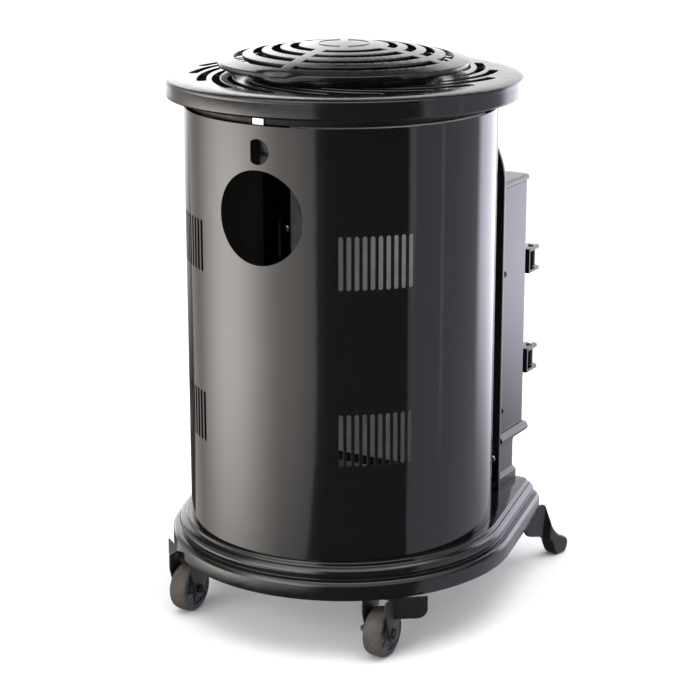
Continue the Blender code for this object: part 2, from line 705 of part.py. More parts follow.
def make_firebox():
    back = [(-0.139, -0.2150), (-0.139, -0.1705), (0.139, -0.1705), (0.139, -0.2150)]
    inner = [(0.138, -0.2150), (0.138, -0.1715), (-0.138, -0.1715), (-0.138, -0.2150)]
    reflector = flat_plate("firebox_back", [back + inner], 0.255)
    reflector.location = (0, 0, 0.3755)
    place(reflector, ALUMINIUM)

    burner = prism_object("burner_box", rectangle((-0.112, 0.112), (-0.2380, -0.1900)), 0.2220, 0.2520)
    bm = bmesh.new()
    for i in range(8):
        x = -0.0945 + 0.027 * i
        prism(bm, rectangle((x - 0.007, x + 0.007), (-0.2330, -0.1950)), 0.2460, 0.2560)
    boolean(burner, helper(mesh_object("burner_ports", bm)))
    place(burner, ALUMINIUM)

    coals = prism_object("coal_bed", rectangle((-0.108, 0.108), (-0.2360, -0.1860)), 0.2525, 0.2930)
    bevel = coals.modifiers.new("rounded", "BEVEL")
    bevel.width = 0.010
    bevel.segments = 2
    place(coals, CERAMIC)

    pilot = [(0, 0.262), (0.0035, 0.262), (0.0050, 0.258), (0.0050, 0.225), (0, 0.225)]
    burner_pilot = turned_solid("pilot_burner", pilot, 16)
    burner_pilot.location = (0.122, -0.214, 0)
    place(burner_pilot, BRASS)
    couple = turned_solid("thermocouple", rod_profile(0.0022, 0.225, 0.272, 0.001), 12)
    couple.location = (0.122, -0.202, 0)
    place(couple, PLATED)
    spark = turned_solid("spark_electrode", rod_profile(0.0030, 0.225, 0.268, 0.0015), 12)
    spark.location = (0.122, -0.226, 0)
    place(spark, CERAMIC)


# Gas line and controls


def make_gas_line():
    face = [(0, 0.0), (0.0130, 0.0), (0.0130, -0.010), (0.0150, -0.012), (0.0150, -0.026)]
    tap = turned_solid("gas_tap", face + [(0.0100, -0.0295), (0, -0.0295)], 20)
    bore = turned_solid("tap_bore", rod_profile(0.0036, -0.016, 0.005), 16)
    tap_at = (KNOB_X, FASCIA_BACK + 0.0025, CONTROL_Z)
    boolean(tap, helper(along_y(bore, tap_at)))
    place(along_y(tap, tap_at), BRASS)

    tap_back = tap_at[1] + 0.0295 + GAP
    barbs = [(0, 0.052), (0.0035, 0.052)]
    for i in range(3):
        barbs += [(0.0050, 0.0475 - 0.008 * i), (0.0040, 0.0465 - 0.008 * i)]
    collar = [(0.0040, 0.020), (0.0075, 0.020), (0.0075, 0.0), (0, 0.0)]
    nozzle = turned_solid("inlet_nozzle", barbs + collar, 12)
    place(along_y(nozzle, (KNOB_X, tap_back, CONTROL_Z), facing=1), BRASS)

    pipe_y = tap_at[1] + 0.019
    route = [(KNOB_X, pipe_y, CONTROL_Z - 0.0156), (KNOB_X, pipe_y, 0.2370), (KNOB_X, -0.1830, 0.2370)]
    place(tube("manifold_pipe", rounded_route(route, 0.014), 0.0040), ALUMINIUM)
    jet = turned_solid("injector", rod_profile(0.0065, 0, 0.0060, 0.001), 6)
    place(along_y(jet, (KNOB_X, -0.1833, 0.2370)), BRASS)

    piezo = turned_solid("piezo_igniter", rod_profile(0.0095, 0, 0.034, 0.001), 16)
    place(along_y(piezo, (BUTTON_X, -0.1540, CONTROL_Z), facing=1), KNOB_BLACK)


def make_controls():
    spindle_at = new_empty("spindle_axis", (KNOB_X, -0.190, CONTROL_Z), AXIS)
    spindle = turned_solid("tap_spindle", rod_profile(0.0030, -0.0380, 0.0, 0.0005), 16)
    place(along_y(spindle, (0, 0, 0)), PLATED, spindle_at)

    knob_at = new_empty("knob_axis", (KNOB_X, -0.172, CONTROL_Z), AXIS)
    outside = [(0, 0.024), (0.0150, 0.024), (0.0165, 0.0225), (0.0180, 0.002), (0.0180, 0.0)]
    bore = [(0.0034, 0.0), (0.0034, 0.0195), (0, 0.0195)]
    knob = turned_solid("control_knob", outside + bore, 24)
    place(along_y(knob, (0, 0, 0)), KNOB_BLACK, knob_at)
    grip = prism_object("knob_grip", rectangle((-0.0035, 0.0035), (-0.0150, 0.0150)), 0.0220, 0.0280)
    boolean(knob, helper(along_y(grip, (KNOB_X, -0.172, CONTROL_Z))), "UNION")

    button_at = new_empty("button_axis", (BUTTON_X, -0.176, CONTROL_Z), AXIS)
    button = turned_solid("igniter_button", rod_profile(0.0078, -0.0160, 0.0, 0.0012), 20)
    place(along_y(button, (0, 0, 0)), BUTTON_RED, button_at)


# Door


def make_door():
    hinge = new_empty("door_axis", (HINGE_X, HINGE_Y, 0), AXIS)
    panes = []
    for low_x in (DOOR_X[0] + 0.022, DOOR_X[0] + 0.138):
        for low_z in (DOOR_Z[0] + 0.030, DOOR_Z[0] + 0.166):
            panes.append(rectangle((low_x, low_x + 0.100), (low_z, low_z + 0.118), 0.010, 3))
    frame = flat_plate("door_frame", [rectangle(DOOR_X, DOOR_Z, 0.008, 3)] + panes, DOOR_THICK)
    frame.data.transform(Matrix.Rotation(math.pi / 2, 4, "X"))
    frame.data.transform(Matrix.Translation((-HINGE_X, DOOR_BACK - DOOR_THICK / 2 - HINGE_Y, 0)))
    for level, z in HINGE_Z.items():
        ear_plan = [(-0.001, -0.0055), (0.031, -0.0055), (0.031, 0.0225), (0.021, 0.0225)]
        ear_plan += [(0.021, 0.0050), (-0.001, 0.0050)]
        ear = helper(prism_object("ear_plan_" + level, ear_plan, z - 0.0120, z + 0.0120), hinge)
        boolean(frame, ear, "UNION")
        barrel_profile = rod_profile(0.0065, z - 0.0126, z + 0.0126)
        barrel = helper(turned_solid("ear_barrel_" + level, barrel_profile, 16), hinge)
        boolean(frame, barrel, "UNION")
        bore_profile = rod_profile(HINGE_BORE_R, z - 0.02, z + 0.02)
        boolean(frame, helper(turned_solid("ear_bore_" + level, bore_profile, 16), hinge))
    place(frame, CAST, hinge)

    pane_x = (-0.119, 0.1175)
    glass = prism_object("door_glass", rectangle(pane_x, (0.222, 0.506)), 0, 0.004)
    glass.data.transform(Matrix.Rotation(math.pi / 2, 4, "X"))
    glass.data.transform(Matrix.Translation((-HINGE_X, DOOR_BACK + GAP + 0.004 - HINGE_Y, 0)))
    place(glass, GLASS, hinge)

    ball = [(0, 0.0380), (0.0070, 0.0365), (0.0120, 0.0315), (0.0135, 0.0255), (0.0120, 0.0195)]
    neck = [(0.0060, 0.0140), (0.0050, 0.0080), (0.0085, 0.0030), (0.0085, 0.0), (0, 0.0)]
    knob = turned_solid("door_knob", ball + neck, 16)
    knob_at = (0.1285 - HINGE_X, DOOR_BACK - DOOR_THICK - GAP - HINGE_Y, 0.3625)
    place(along_y(knob, knob_at), PLATED, hinge)

    magnet = prism_object("door_catch", rectangle((0.1195, 0.1297), (-0.2508, -0.2380)), 0.345, 0.380)
    place(magnet, BRACKET_PAINT)


make_base()
make_floor_pan()
for side_name, side_sign in (("left", -1), ("right", 1)):
    make_leg(side_name, side_sign)
    make_castor(side_name, side_sign)
    make_side_panel(side_name, side_sign)
make_rear_cover()
make_divider()
make_fascia()
make_spandrel()
make_cover_catch()
make_top_plate()
make_lid()
make_plinth()
make_bay()
make_bay_cap()
for hinge_level in HINGE_Z:
    make_hinge(hinge_level)
make_firebox()
make_gas_line()
make_controls()
make_door()
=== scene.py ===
"""Looks for the portable gas cabinet heater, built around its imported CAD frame.

Shapes are drawn with y measured from the axis of the round body, in metres, and
moved to the row's frame by add(). Left is -X and the door faces -Y.
"""

import json
import math

import bmesh
import bpy
from mathutils import Matrix, Vector, noise

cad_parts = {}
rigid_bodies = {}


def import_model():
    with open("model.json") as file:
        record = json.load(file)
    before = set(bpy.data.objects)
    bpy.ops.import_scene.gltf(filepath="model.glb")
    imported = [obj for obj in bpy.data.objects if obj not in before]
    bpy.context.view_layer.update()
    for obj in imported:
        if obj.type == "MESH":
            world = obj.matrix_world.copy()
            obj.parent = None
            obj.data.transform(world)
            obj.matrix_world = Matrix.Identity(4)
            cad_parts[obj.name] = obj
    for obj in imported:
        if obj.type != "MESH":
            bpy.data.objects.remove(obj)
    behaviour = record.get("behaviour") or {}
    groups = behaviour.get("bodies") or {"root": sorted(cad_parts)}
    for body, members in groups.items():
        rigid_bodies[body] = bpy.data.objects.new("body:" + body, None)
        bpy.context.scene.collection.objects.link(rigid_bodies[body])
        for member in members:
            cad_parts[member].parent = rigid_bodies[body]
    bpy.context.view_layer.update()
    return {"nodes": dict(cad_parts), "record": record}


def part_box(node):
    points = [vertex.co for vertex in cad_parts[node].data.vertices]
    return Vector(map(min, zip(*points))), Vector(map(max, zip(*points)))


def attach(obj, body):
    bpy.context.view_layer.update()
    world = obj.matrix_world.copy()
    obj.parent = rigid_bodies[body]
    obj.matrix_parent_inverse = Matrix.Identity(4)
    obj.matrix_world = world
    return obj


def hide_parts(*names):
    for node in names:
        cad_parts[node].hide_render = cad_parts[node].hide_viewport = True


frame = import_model()

# Driving dimensions
AXIS_Y = 0.0378
GAP = 0.0003
SOFT_EDGE = 32

BASE_R = 0.229
BASE_Y = -0.007
BASE_FRONT = -0.245
BASE_CORNER = 0.030
BASE_TOP = 0.1235
BASE_BOTTOM = 0.0800
SIDE_TAPER = math.radians(12)
LEDGE_TAPER = math.radians(25)
FOOT_TOP = BASE_BOTTOM - GAP

LEG_SPLAY = math.radians(15)
LEG_HIP = (0.172, -0.205)
LEG_THICK = 0.022

CASTOR_X = 0.146
CASTOR_Y = 0.150
WHEEL_R = 0.0315
WHEEL_HALF = 0.0125
FORK_INNER = 0.0150
FORK_OUTER = 0.0175

COVER_R = 0.200
SHEET = 0.0012
COVER_BOTTOM = 0.1238
COVER_TOP = 0.668
COVER_HALF = math.radians(124.7)
PANEL_EDGE_ANGLE = 34.8
PANEL_EDGE_Y = -COVER_R * math.sin(math.radians(PANEL_EDGE_ANGLE))
DIVIDER_THICK = 0.001

PLATE_R = 0.2275
PLATE_Y = -0.0075
PLATE_UNDER = 0.7010
COLLAR_R = 0.121
LID_R = 0.160
LID_THICK = 0.006
SWIRLS = 18

FASCIA_BACK = -0.160
FASCIA_THICK = 0.006
FASCIA_HALF = 0.155
ARCH_SPRING = 0.550
ARCH_RISE = 0.124

BAY_BACK = FASCIA_BACK - FASCIA_THICK - GAP
BAY_FRONT = -0.250
BAY_HALF = 0.150
BAY_BOTTOM = 0.1993
BAY_TOP = 0.541
DOORWAY_X = (-0.130, 0.130)
DOORWAY_Z = (0.215, 0.520)

HINGE_X = -0.141
HINGE_Y = -0.279
HINGE_Z = {"lower": 0.284, "upper": 0.426}
HINGE_BORE_R = 0.0034

DOOR_BACK = -0.2513
DOOR_THICK = 0.008
DOOR_X = (-0.126, 0.140)
DOOR_Z = (0.207, 0.518)

CONTROL_Z = 0.600
KNOB_X = -0.050
KNOB_BACK = -0.172
BUTTON_X = 0.050
BUTTON_FRONT = -0.176
TRIM_BACK = -0.1662
BODY = {n: b for b, nodes in frame["record"]["behaviour"]["bodies"].items() for n in nodes}
SLOT = {s["node"]: s["material_slot"] for s in frame["record"]["subparts"]}
SIDES = (("left", -1), ("right", 1))


# Materials


class Look:
    """A procedural material: a Principled shader and the nodes that feed it."""

    def __init__(self, name, colour, roughness, **sockets):
        self.material = bpy.data.materials.new(name)
        self.material.use_nodes = True
        self.tree = self.material.node_tree
        self.shader = self.tree.nodes["Principled BSDF"]
        self.shader.inputs["Base Color"].default_value = (*colour, 1)
        self.shader.inputs["Roughness"].default_value = roughness
        self.colour = colour
        for socket, value in sockets.items():
            self.shader.inputs[socket.replace("_", " ")].default_value = value
        self.place = self.node("TexCoord").outputs["Object"]
        self.normal = None

    def node(self, kind, **settings):
        node = self.tree.nodes.new("ShaderNode" + kind)
        for key, value in settings.items():
            setattr(node, key, value)
        return node

    def link(self, source, target):
        self.tree.links.new(source, target)

    def noise(self, scale, detail=3.0, rough=0.5, stretch=None):
        node = self.node("TexNoise")
        node.inputs["Scale"].default_value = scale
        node.inputs["Detail"].default_value = detail
        node.inputs["Roughness"].default_value = rough
        place = self.place
        if stretch:
            mapping = self.node("Mapping")
            mapping.inputs["Scale"].default_value = stretch
            self.link(place, mapping.inputs["Vector"])
            place = mapping.outputs["Vector"]
        self.link(place, node.inputs["Vector"])
        return node.outputs["Fac"]

    def cells(self, scale, output="Distance"):
        node = self.node("TexVoronoi")
        node.inputs["Scale"].default_value = scale
        self.link(self.place, node.inputs["Vector"])
        return node.outputs[output]

    def spread(self, value, low, high, to_low=0.0, to_high=1.0):
        node = self.node("MapRange")
        for index, number in enumerate((low, high, to_low, to_high)):
            node.inputs[index + 1].default_value = number
        self.link(value, node.inputs[0])
        return node.outputs[0]

    def times(self, first, second):
        node = self.node("Math", operation="MULTIPLY")
        self.link(first, node.inputs[0])
        self.link(second, node.inputs[1])
        return node.outputs[0]

    def bump(self, height, distance, strength=1.0):
        node = self.node("Bump")
        node.inputs["Distance"].default_value = distance
        node.inputs["Strength"].default_value = strength
        self.link(height, node.inputs["Height"])
        if self.normal:
            self.link(self.normal, node.inputs["Normal"])
        self.normal = node.outputs["Normal"]
        self.link(self.normal, self.shader.inputs["Normal"])

    def vary_roughness(self, factor, low, high):
        self.link(self.spread(factor, 0.3, 0.7, low, high), self.shader.inputs["Roughness"])

    def tint(self, factor, colour):
        """Mixes another colour in where factor is 1."""
        mix = self.node("Mix", data_type="RGBA")
        base = self.shader.inputs["Base Color"]
        if base.is_linked:
            self.link(base.links[0].from_socket, mix.inputs[6])
        else:
            mix.inputs[6].default_value = (*self.colour, 1)
        mix.inputs[7].default_value = (*colour, 1)
        self.link(factor, mix.inputs[0])
        self.link(mix.outputs[2], base)


def make_looks():
    looks = {}

    cast = looks["cast_enamel"] = Look("cast_enamel", (0.005, 0.005, 0.0055), 0.13, IOR=1.56)
    cast.bump(cast.noise(130, 2.0), 0.00022, 0.45)
    cast.bump(cast.noise(420, 2.0), 0.00007, 0.45)
    cast.vary_roughness(cast.noise(60, 4.0, 0.6), 0.09, 0.20)

    sheet = looks["sheet_enamel"] = Look("sheet_enamel", (0.004, 0.004, 0.0045), 0.06, IOR=1.56)
    sheet.bump(sheet.noise(11, 1.0), 0.00060, 0.35)
    sheet.bump(sheet.noise(260, 2.0), 0.00004, 0.35)
    sheet.vary_roughness(sheet.noise(25, 5.0, 0.65), 0.045, 0.085)

    galvanised = looks["galvanised"] = Look("galvanised", (0.68, 0.68, 0.66), 0.46, Metallic=0.30)
    spangle = galvanised.cells(90, "Color")
    grey = galvanised.node("RGBToBW")
    galvanised.link(spangle, grey.inputs[0])
    galvanised.tint(galvanised.spread(grey.outputs[0], 0, 1), (0.77, 0.77, 0.76))
    galvanised.link(
        galvanised.spread(grey.outputs[0], 0, 1, 0.32, 0.48), galvanised.shader.inputs["Roughness"]
    )
    galvanised.bump(galvanised.noise(30, 3.0), 0.0004, 0.3)

    bracket = looks["bracket_paint"] = Look(
        "bracket_paint", (0.011, 0.0095, 0.009), 0.42, Specular_IOR_Level=0.35
    )
    bracket.bump(bracket.noise(500, 3.0), 0.00010, 0.6)
    bracket.vary_roughness(bracket.noise(90, 4.0), 0.36, 0.50)
    bracket.tint(bracket.spread(bracket.noise(70, 6.0, 0.7), 0.62, 0.72), (0.035, 0.030, 0.027))

    zinc = looks["zinc_plate"] = Look("zinc_plate", (0.66, 0.66, 0.67), 0.22, Metallic=1.0)
    zinc.vary_roughness(zinc.noise(160, 4.0, 0.6), 0.16, 0.32)
    zinc.bump(zinc.noise(700, 2.0), 0.00005, 0.4)

    brass = looks["brass"] = Look("brass", (0.72, 0.53, 0.24), 0.26, Metallic=1.0)
    brass.vary_roughness(brass.noise(120, 4.0), 0.20, 0.36)
    brass.tint(brass.spread(brass.noise(60, 5.0, 0.6), 0.5, 0.8), (0.42, 0.29, 0.13))

    alu = looks["aluminium"] = Look("aluminium", (0.60, 0.60, 0.61), 0.36, Metallic=1.0)
    alu.vary_roughness(alu.noise(60, 4.0, 0.6, (1, 1, 12)), 0.28, 0.48)
    alu.bump(alu.noise(90, 3.0), 0.0002, 0.3)

    fire = looks["fire_ceramic"] = Look("fire_ceramic", (0.34, 0.30, 0.26), 0.92)
    fire.tint(fire.spread(fire.noise(55, 6.0, 0.65), 0.45, 0.62), (0.055, 0.045, 0.04))
    fire.tint(fire.spread(fire.noise(24, 3.0), 0.58, 0.72), (0.46, 0.27, 0.16))
    fire.bump(fire.noise(320, 8.0, 0.7), 0.0008, 0.8)
    fire.bump(fire.cells(150), 0.0006, 0.5)

    glass = looks["fire_glass"] = Look(
        "fire_glass", (0.92, 0.93, 0.92), 0.02, IOR=1.48, Transmission_Weight=1.0
    )
    glass.vary_roughness(glass.noise(20, 4.0), 0.010, 0.035)

    black = looks["black_plastic"] = Look("black_plastic", (0.012, 0.012, 0.012), 0.28)
    black.bump(black.noise(900, 2.0), 0.00004, 0.5)
    black.vary_roughness(black.noise(70, 4.0), 0.22, 0.36)

    red = looks["red_plastic"] = Look("red_plastic", (0.42, 0.018, 0.012), 0.26)
    red.bump(red.noise(900, 2.0), 0.00004, 0.5)
    red.vary_roughness(red.noise(70, 4.0), 0.20, 0.34)

    tyre = looks["tyre"] = Look("tyre", (0.070, 0.058, 0.049), 0.74)
    tyre.tint(tyre.spread(tyre.noise(45, 6.0, 0.7), 0.46, 0.66), (0.040, 0.033, 0.029))
    tyre.tint(tyre.spread(tyre.noise(260, 4.0, 0.6), 0.60, 0.75), (0.120, 0.102, 0.088))
    tyre.bump(tyre.noise(380, 6.0, 0.65), 0.0004, 0.6)
    tyre.vary_roughness(tyre.noise(80, 4.0), 0.60, 0.85)

    hub = looks["hub"] = Look("hub", (0.042, 0.050, 0.060), 0.42)
    hub.bump(hub.noise(600, 3.0), 0.00008, 0.6)
    hub.vary_roughness(hub.noise(70, 4.0), 0.34, 0.52)
    hub.tint(hub.spread(hub.noise(60, 5.0, 0.6), 0.55, 0.75), (0.075, 0.082, 0.094))

    return looks


LOOKS = make_looks()


# Shapes


def mesh_object(name, bm, sharp=SOFT_EDGE):
    bmesh.ops.remove_doubles(bm, verts=bm.verts, dist=0.000005)
    bmesh.ops.recalc_face_normals(bm, faces=bm.faces)
    mesh = bpy.data.meshes.new(name)
    bm.to_mesh(mesh)
    bm.free()
    mesh.shade_smooth()
    mesh.set_sharp_from_angle(angle=math.radians(sharp))
    return bpy.data.objects.new(name, mesh)


def add(obj, *nodes, body=None, slot=None):
    """Moves a finished piece to the row's frame; it stands for the CAD nodes named, if any."""
    obj.data.transform(Matrix.Translation((0, AXIS_Y, 0)))
    bpy.context.scene.collection.objects.link(obj)
    slot = slot or SLOT[nodes[0]]
    obj.data.materials.clear()
    obj.data.materials.append(LOOKS[slot].material)
    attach(obj, body or BODY[nodes[0]])
    if nodes:
        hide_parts(*nodes)
    return obj


def joined(name, *objects):
    """One mesh object from several."""
    bm = bmesh.new()
    for obj in objects:
        bm.from_mesh(obj.data)
        mesh = obj.data
        bpy.data.objects.remove(obj)
        bpy.data.meshes.remove(mesh)
    mesh = bpy.data.meshes.new(name)
    bm.to_mesh(mesh)
    bm.free()
    return bpy.data.objects.new(name, mesh)


def moved(obj, matrix):
    obj.data.transform(matrix)
    if matrix.determinant() < 0:
        obj.data.flip_normals()
    return obj


def arc(centre, radius, start, end, steps):
    """Points on an arc, both ends included. Angles are in degrees from +X, anticlockwise."""
    turns = [math.radians(start + (end - start) * i / steps) for i in range(steps + 1)]
    return [(centre[0] + radius * math.cos(t), centre[1] + radius * math.sin(t)) for t in turns]


def circle(centre, radius, steps=48):
    return arc(centre, radius, 0, 360, steps)[:-1]


def rounded(points, radius, steps=5, closed=True):
    """Rounds the corners of an outline, or of a run of points in any dimension."""
    points = [Vector(p) for p in points]
    made = []
    count = len(points)
    for i, point in enumerate(points):
        if not closed and i in (0, count - 1):
            made.append(tuple(point))
            continue
        before = points[i - 1] - point
        after = points[(i + 1) % count] - point
        cut = min(radius, before.length * 0.48, after.length * 0.48)
        first = point + before.normalized() * cut
        last = point + after.normalized() * cut
        for k in range(steps + 1):
            t = k / steps
            made.append(tuple(first * (1 - t) ** 2 + point * 2 * t * (1 - t) + last * t * t))
    return made


def rectangle(x, y, corner=0.0, steps=6):
    points = [(x[0], y[0]), (x[1], y[0]), (x[1], y[1]), (x[0], y[1])]
    return rounded(points, corner, steps) if corner else points


def plate(name, outlines, thickness, soften=0.0004, steps=2):
    """Flat plate on z = 0 with softened edges: its first outline is the edge, the rest holes."""
    curve = bpy.data.curves.new(name, "CURVE")
    curve.dimensions = "2D"
    curve.fill_mode = "BOTH"
    curve.extrude = thickness / 2 - soften
    curve.bevel_depth = soften
    curve.bevel_resolution = steps
    curve.offset = -soften
    for outline in outlines:
        spline = curve.splines.new("POLY")
        spline.points.add(len(outline) - 1)
        spline.use_cyclic_u = True
        for point, (x, y) in zip(spline.points, outline):
            point.co = (x, y, 0, 1)
    guide = bpy.data.objects.new(name, curve)
    bpy.context.scene.collection.objects.link(guide)
    graph = bpy.context.evaluated_depsgraph_get()
    mesh = bpy.data.meshes.new_from_object(guide.evaluated_get(graph))
    bpy.data.objects.remove(guide)
    bm = bmesh.new()
    bm.from_mesh(mesh)
    bpy.data.meshes.remove(mesh)
    return mesh_object(name, bm)


# A drawing in the XZ plane facing -Y, and one whose x and y are Y and Z.
UPRIGHT = Matrix.Rotation(math.pi / 2, 4, "X")
SIDEWAYS = Matrix(((0, 0, 1, 0), (1, 0, 0, 0), (0, 1, 0, 0), (0, 0, 0, 1)))
TO_BACK = Matrix.Rotation(-math.pi / 2, 4, "X")
TO_FRONT = Matrix.Rotation(math.pi / 2, 4, "X")
TO_RIGHT = Matrix.Rotation(math.pi / 2, 4, "Y")
TO_LEFT = Matrix.Rotation(-math.pi / 2, 4, "Y")


def at(x, y, z):
    return Matrix.Translation((x, y, z))


def turned(name, profile, steps=96, closed=False, sharp=SOFT_EDGE):
    """Turns a profile of (radius, z) about Z."""
    bm = bmesh.new()
    rings = []
    for radius, z in profile:
        if radius < 1e-6:
            rings.append([bm.verts.new((0, 0, z))])
            continue
        turns = [2 * math.pi * k / steps for k in range(steps)]
        rings.append([bm.verts.new((radius * math.cos(t), radius * math.sin(t), z)) for t in turns])
    pairs = list(zip(rings, rings[1:]))
    if closed:
        pairs.append((rings[-1], rings[0]))
    for low, high in pairs:
        for k in range(steps):
            n = (k + 1) % steps
            corners = [low[k % len(low)], low[n % len(low)]]
            corners += [high[n % len(high)], high[k % len(high)]]
            corners = list(dict.fromkeys(corners))
            if len(corners) > 2:
                bm.faces.new(corners)
    return mesh_object(name, bm, sharp)


def loft(name, rings, closed=True, sharp=SOFT_EDGE):
    bm = bmesh.new()
    loops = [[bm.verts.new(point) for point in ring] for ring in rings]
    pairs = list(zip(loops, loops[1:] + loops[:1])) if closed else list(zip(loops, loops[1:]))
    for first, second in pairs:
        count = len(first)
        for i in range(count):
            k = (i + 1) % count
            bm.faces.new((first[i], first[k], second[k], second[i]))
    if not closed:
        bm.faces.new(loops[0])
        bm.faces.new(loops[-1])
    return mesh_object(name, bm, sharp)


def cut(obj, *cutters):
    """Booleans the cutters away from the object and applies the result."""
    scene = bpy.context.scene.collection.objects
    scene.link(obj)
    for cutter in cutters:
        scene.link(cutter)
        modifier = obj.modifiers.new("cut", "BOOLEAN")
        modifier.operation = "DIFFERENCE"
        modifier.object = cutter
    graph = bpy.context.evaluated_depsgraph_get()
    mesh = bpy.data.meshes.new_from_object(obj.evaluated_get(graph))
    name = obj.name
    for other in (obj, *cutters):
        bpy.data.objects.remove(other)
    mesh.shade_smooth()
    mesh.set_sharp_from_angle(angle=math.radians(SOFT_EDGE))
    return bpy.data.objects.new(name, mesh)


def sliced(mesh, axis, values):
    """Cuts a mesh's faces along planes, so that it can be bent."""
    bm = bmesh.new()
    bm.from_mesh(mesh)
    normal = [0, 0, 0]
    normal[axis] = 1
    for value in values:
        point = [0, 0, 0]
        point[axis] = value
        geometry = bm.verts[:] + bm.edges[:] + bm.faces[:]
        bmesh.ops.bisect_plane(bm, geom=geometry, dist=1e-7, plane_co=point, plane_no=normal)
    bm.to_mesh(mesh)
    bm.free()


def steps_between(low, high, step):
    count = max(1, round((high - low) / step))
    return [low + (high - low) * i / count for i in range(count + 1)]


def bent_sheet(name, outlines, thickness, soften, radius):
    """Sheet drawn flat and rolled to a radius: x runs round from the rear centre line, z is out."""
    obj = plate(name, outlines, thickness, soften)
    mesh = obj.data
    reach = max(abs(v.co.x) for v in mesh.vertices)
    sliced(mesh, 0, steps_between(-reach, reach, radius * math.radians(2))[1:-1])
    for vertex in mesh.vertices:
        turn = math.pi / 2 + vertex.co.x / radius
        out = radius - thickness / 2 + vertex.co.z
        vertex.co = (out * math.cos(turn), out * math.sin(turn), vertex.co.y)
    mesh.flip_normals()
    mesh.shade_smooth()
    mesh.set_sharp_from_angle(angle=math.radians(SOFT_EDGE))
    mesh.update()
    normals = [Vector(n.vector) for n in mesh.corner_normals]
    for face in mesh.polygons:
        outward = Vector((face.center.x, face.center.y, 0)).normalized()
        facing = face.normal.dot(outward)
        if abs(facing) < 0.94:
            continue
        for loop in face.loop_indices:
            place = mesh.vertices[mesh.loops[loop].vertex_index].co
            normals[loop] = Vector((place.x, place.y, 0)).normalized() * math.copysign(1, facing)
    mesh.normals_split_custom_set(normals)
    return obj


def lifted(obj, height, step=0.006):
    """Slices a flat casting into a grid and lifts each point by height(x, y)."""
    mesh = obj.data
    for axis in (0, 1):
        low = min(v.co[axis] for v in mesh.vertices)
        high = max(v.co[axis] for v in mesh.vertices)
        sliced(mesh, axis, steps_between(low, high, step)[1:-1])
    for vertex in mesh.vertices:
        vertex.co.z += height(vertex.co.x, vertex.co.y)
    mesh.shade_smooth()
    mesh.set_sharp_from_angle(angle=math.radians(SOFT_EDGE))
    return obj


def smooth(t):
    t = min(max(t, 0.0), 1.0)
    return t * t * (3 - 2 * t)


# Base, legs and castors


def base_ring(inset, z, taper=SIDE_TAPER):
    """Ring in plan like the base: round at the back, tapering sides, rounded front corners."""
    radius = BASE_R - inset
    corner = max(BASE_CORNER - inset, 0.006)
    turn = math.degrees(taper)
    corner_y = BASE_FRONT + inset + corner
    reach = radius - corner - math.sin(taper) * BASE_Y
    corner_x = (reach + math.sin(taper) * corner_y) / math.cos(taper)
    points = arc((0, BASE_Y), radius, -turn, 180 + turn, 120)
    points += arc((-corner_x, corner_y), corner, 180 + turn, 270, 12)
    points += arc((corner_x, corner_y), corner, 270, 360 - turn, 12)
    return [(x, y, z) for x, y in points]


def make_base():
    skirt = [(0.0060, 0.0985), (0.0060, BASE_BOTTOM), (0, BASE_BOTTOM), (0, 0.0985)]
    skirt.append((0.0030, 0.1032))
    groove = [(0.0105, 0.1040), (0.0105, 0.1058), (0.0095, 0.1062)]
    torus = [(0.0088, 0.1085), (0.0086, 0.1120), (0.0100, 0.1160), (0.0140, 0.1182)]
    lip = [(0.0172, 0.1186), (0.0180, BASE_TOP), (0.0300, BASE_TOP)]
    section = rounded(skirt + groove + torus + lip, 0.0012, 4, closed=False)
    rings = [base_ring(inset, z) for inset, z in section]
    rings += [base_ring(0.034, z, LEDGE_TAPER) for z in (BASE_TOP, 0.1185)]
    rings.append(base_ring(0.0205, 0.1140))
    add(loft("base_shape", rings), "base_casting")

    pan = [(0.0378, 0.0830), (0.0360, 0.1134), (0.0260, 0.1134), (0.0260, 0.1119)]
    pan += [(0.0345, 0.1119), (0.0363, 0.0815)]
    pan = rounded(pan, 0.0008, 3, closed=False)
    rings = [base_ring(inset, z, LEDGE_TAPER) for inset, z in pan]
    add(loft("pan_shape", rings, closed=False), "floor_pan")


def make_leg(side, sign):
    """Cabriole leg: a swelling knee, a thin ankle and a scrolled toe on a flat sole."""
    front = [(0.046, FOOT_TOP), (0.0475, 0.072), (0.050, 0.060), (0.054, 0.049), (0.061, 0.039)]
    front += [(0.070, 0.031), (0.080, 0.0265), (0.087, 0.0225), (0.0905, 0.0165), (0.0895, 0.009)]
    sole = [(0.0845, 0.0), (0.0655, 0.0), (0.0600, 0.0065), (0.0560, 0.0150)]
    back = [(0.0520, 0.0250), (0.0400, 0.0325), (0.0120, 0.0400), (-0.0010, 0.0560)]
    back.append((-0.0020, FOOT_TOP))
    outline = rounded(front + sole + back, 0.004, 5)
    hip = Vector((sign * LEG_HIP[0], LEG_HIP[1], 0))
    out = Vector((sign * math.sin(LEG_SPLAY), -math.cos(LEG_SPLAY), 0))
    across = out.cross(Vector((0, 0, 1)))
    leg_matrix = Matrix.Translation(hip) @ Matrix((out, (0, 0, 1), across)).transposed().to_4x4()
    leg = plate("leg_shape_" + side, [outline], LEG_THICK, 0.0042, 5)
    sliced(leg.data, 0, steps_between(0.0, 0.09, 0.004))
    sliced(leg.data, 1, steps_between(0.0, 0.08, 0.004))
    for vertex in leg.data.vertices:
        edge = smooth((vertex.co.x - 0.044 + (0.08 - vertex.co.y) * 0.10) / 0.010)
        web = 0.30 + 0.70 * max(edge, smooth((0.014 - vertex.co.y) / 0.010))
        vertex.co.z *= web
    leg.data.set_sharp_from_angle(angle=math.radians(40))
    add(moved(leg, leg_matrix), "leg_" + side)


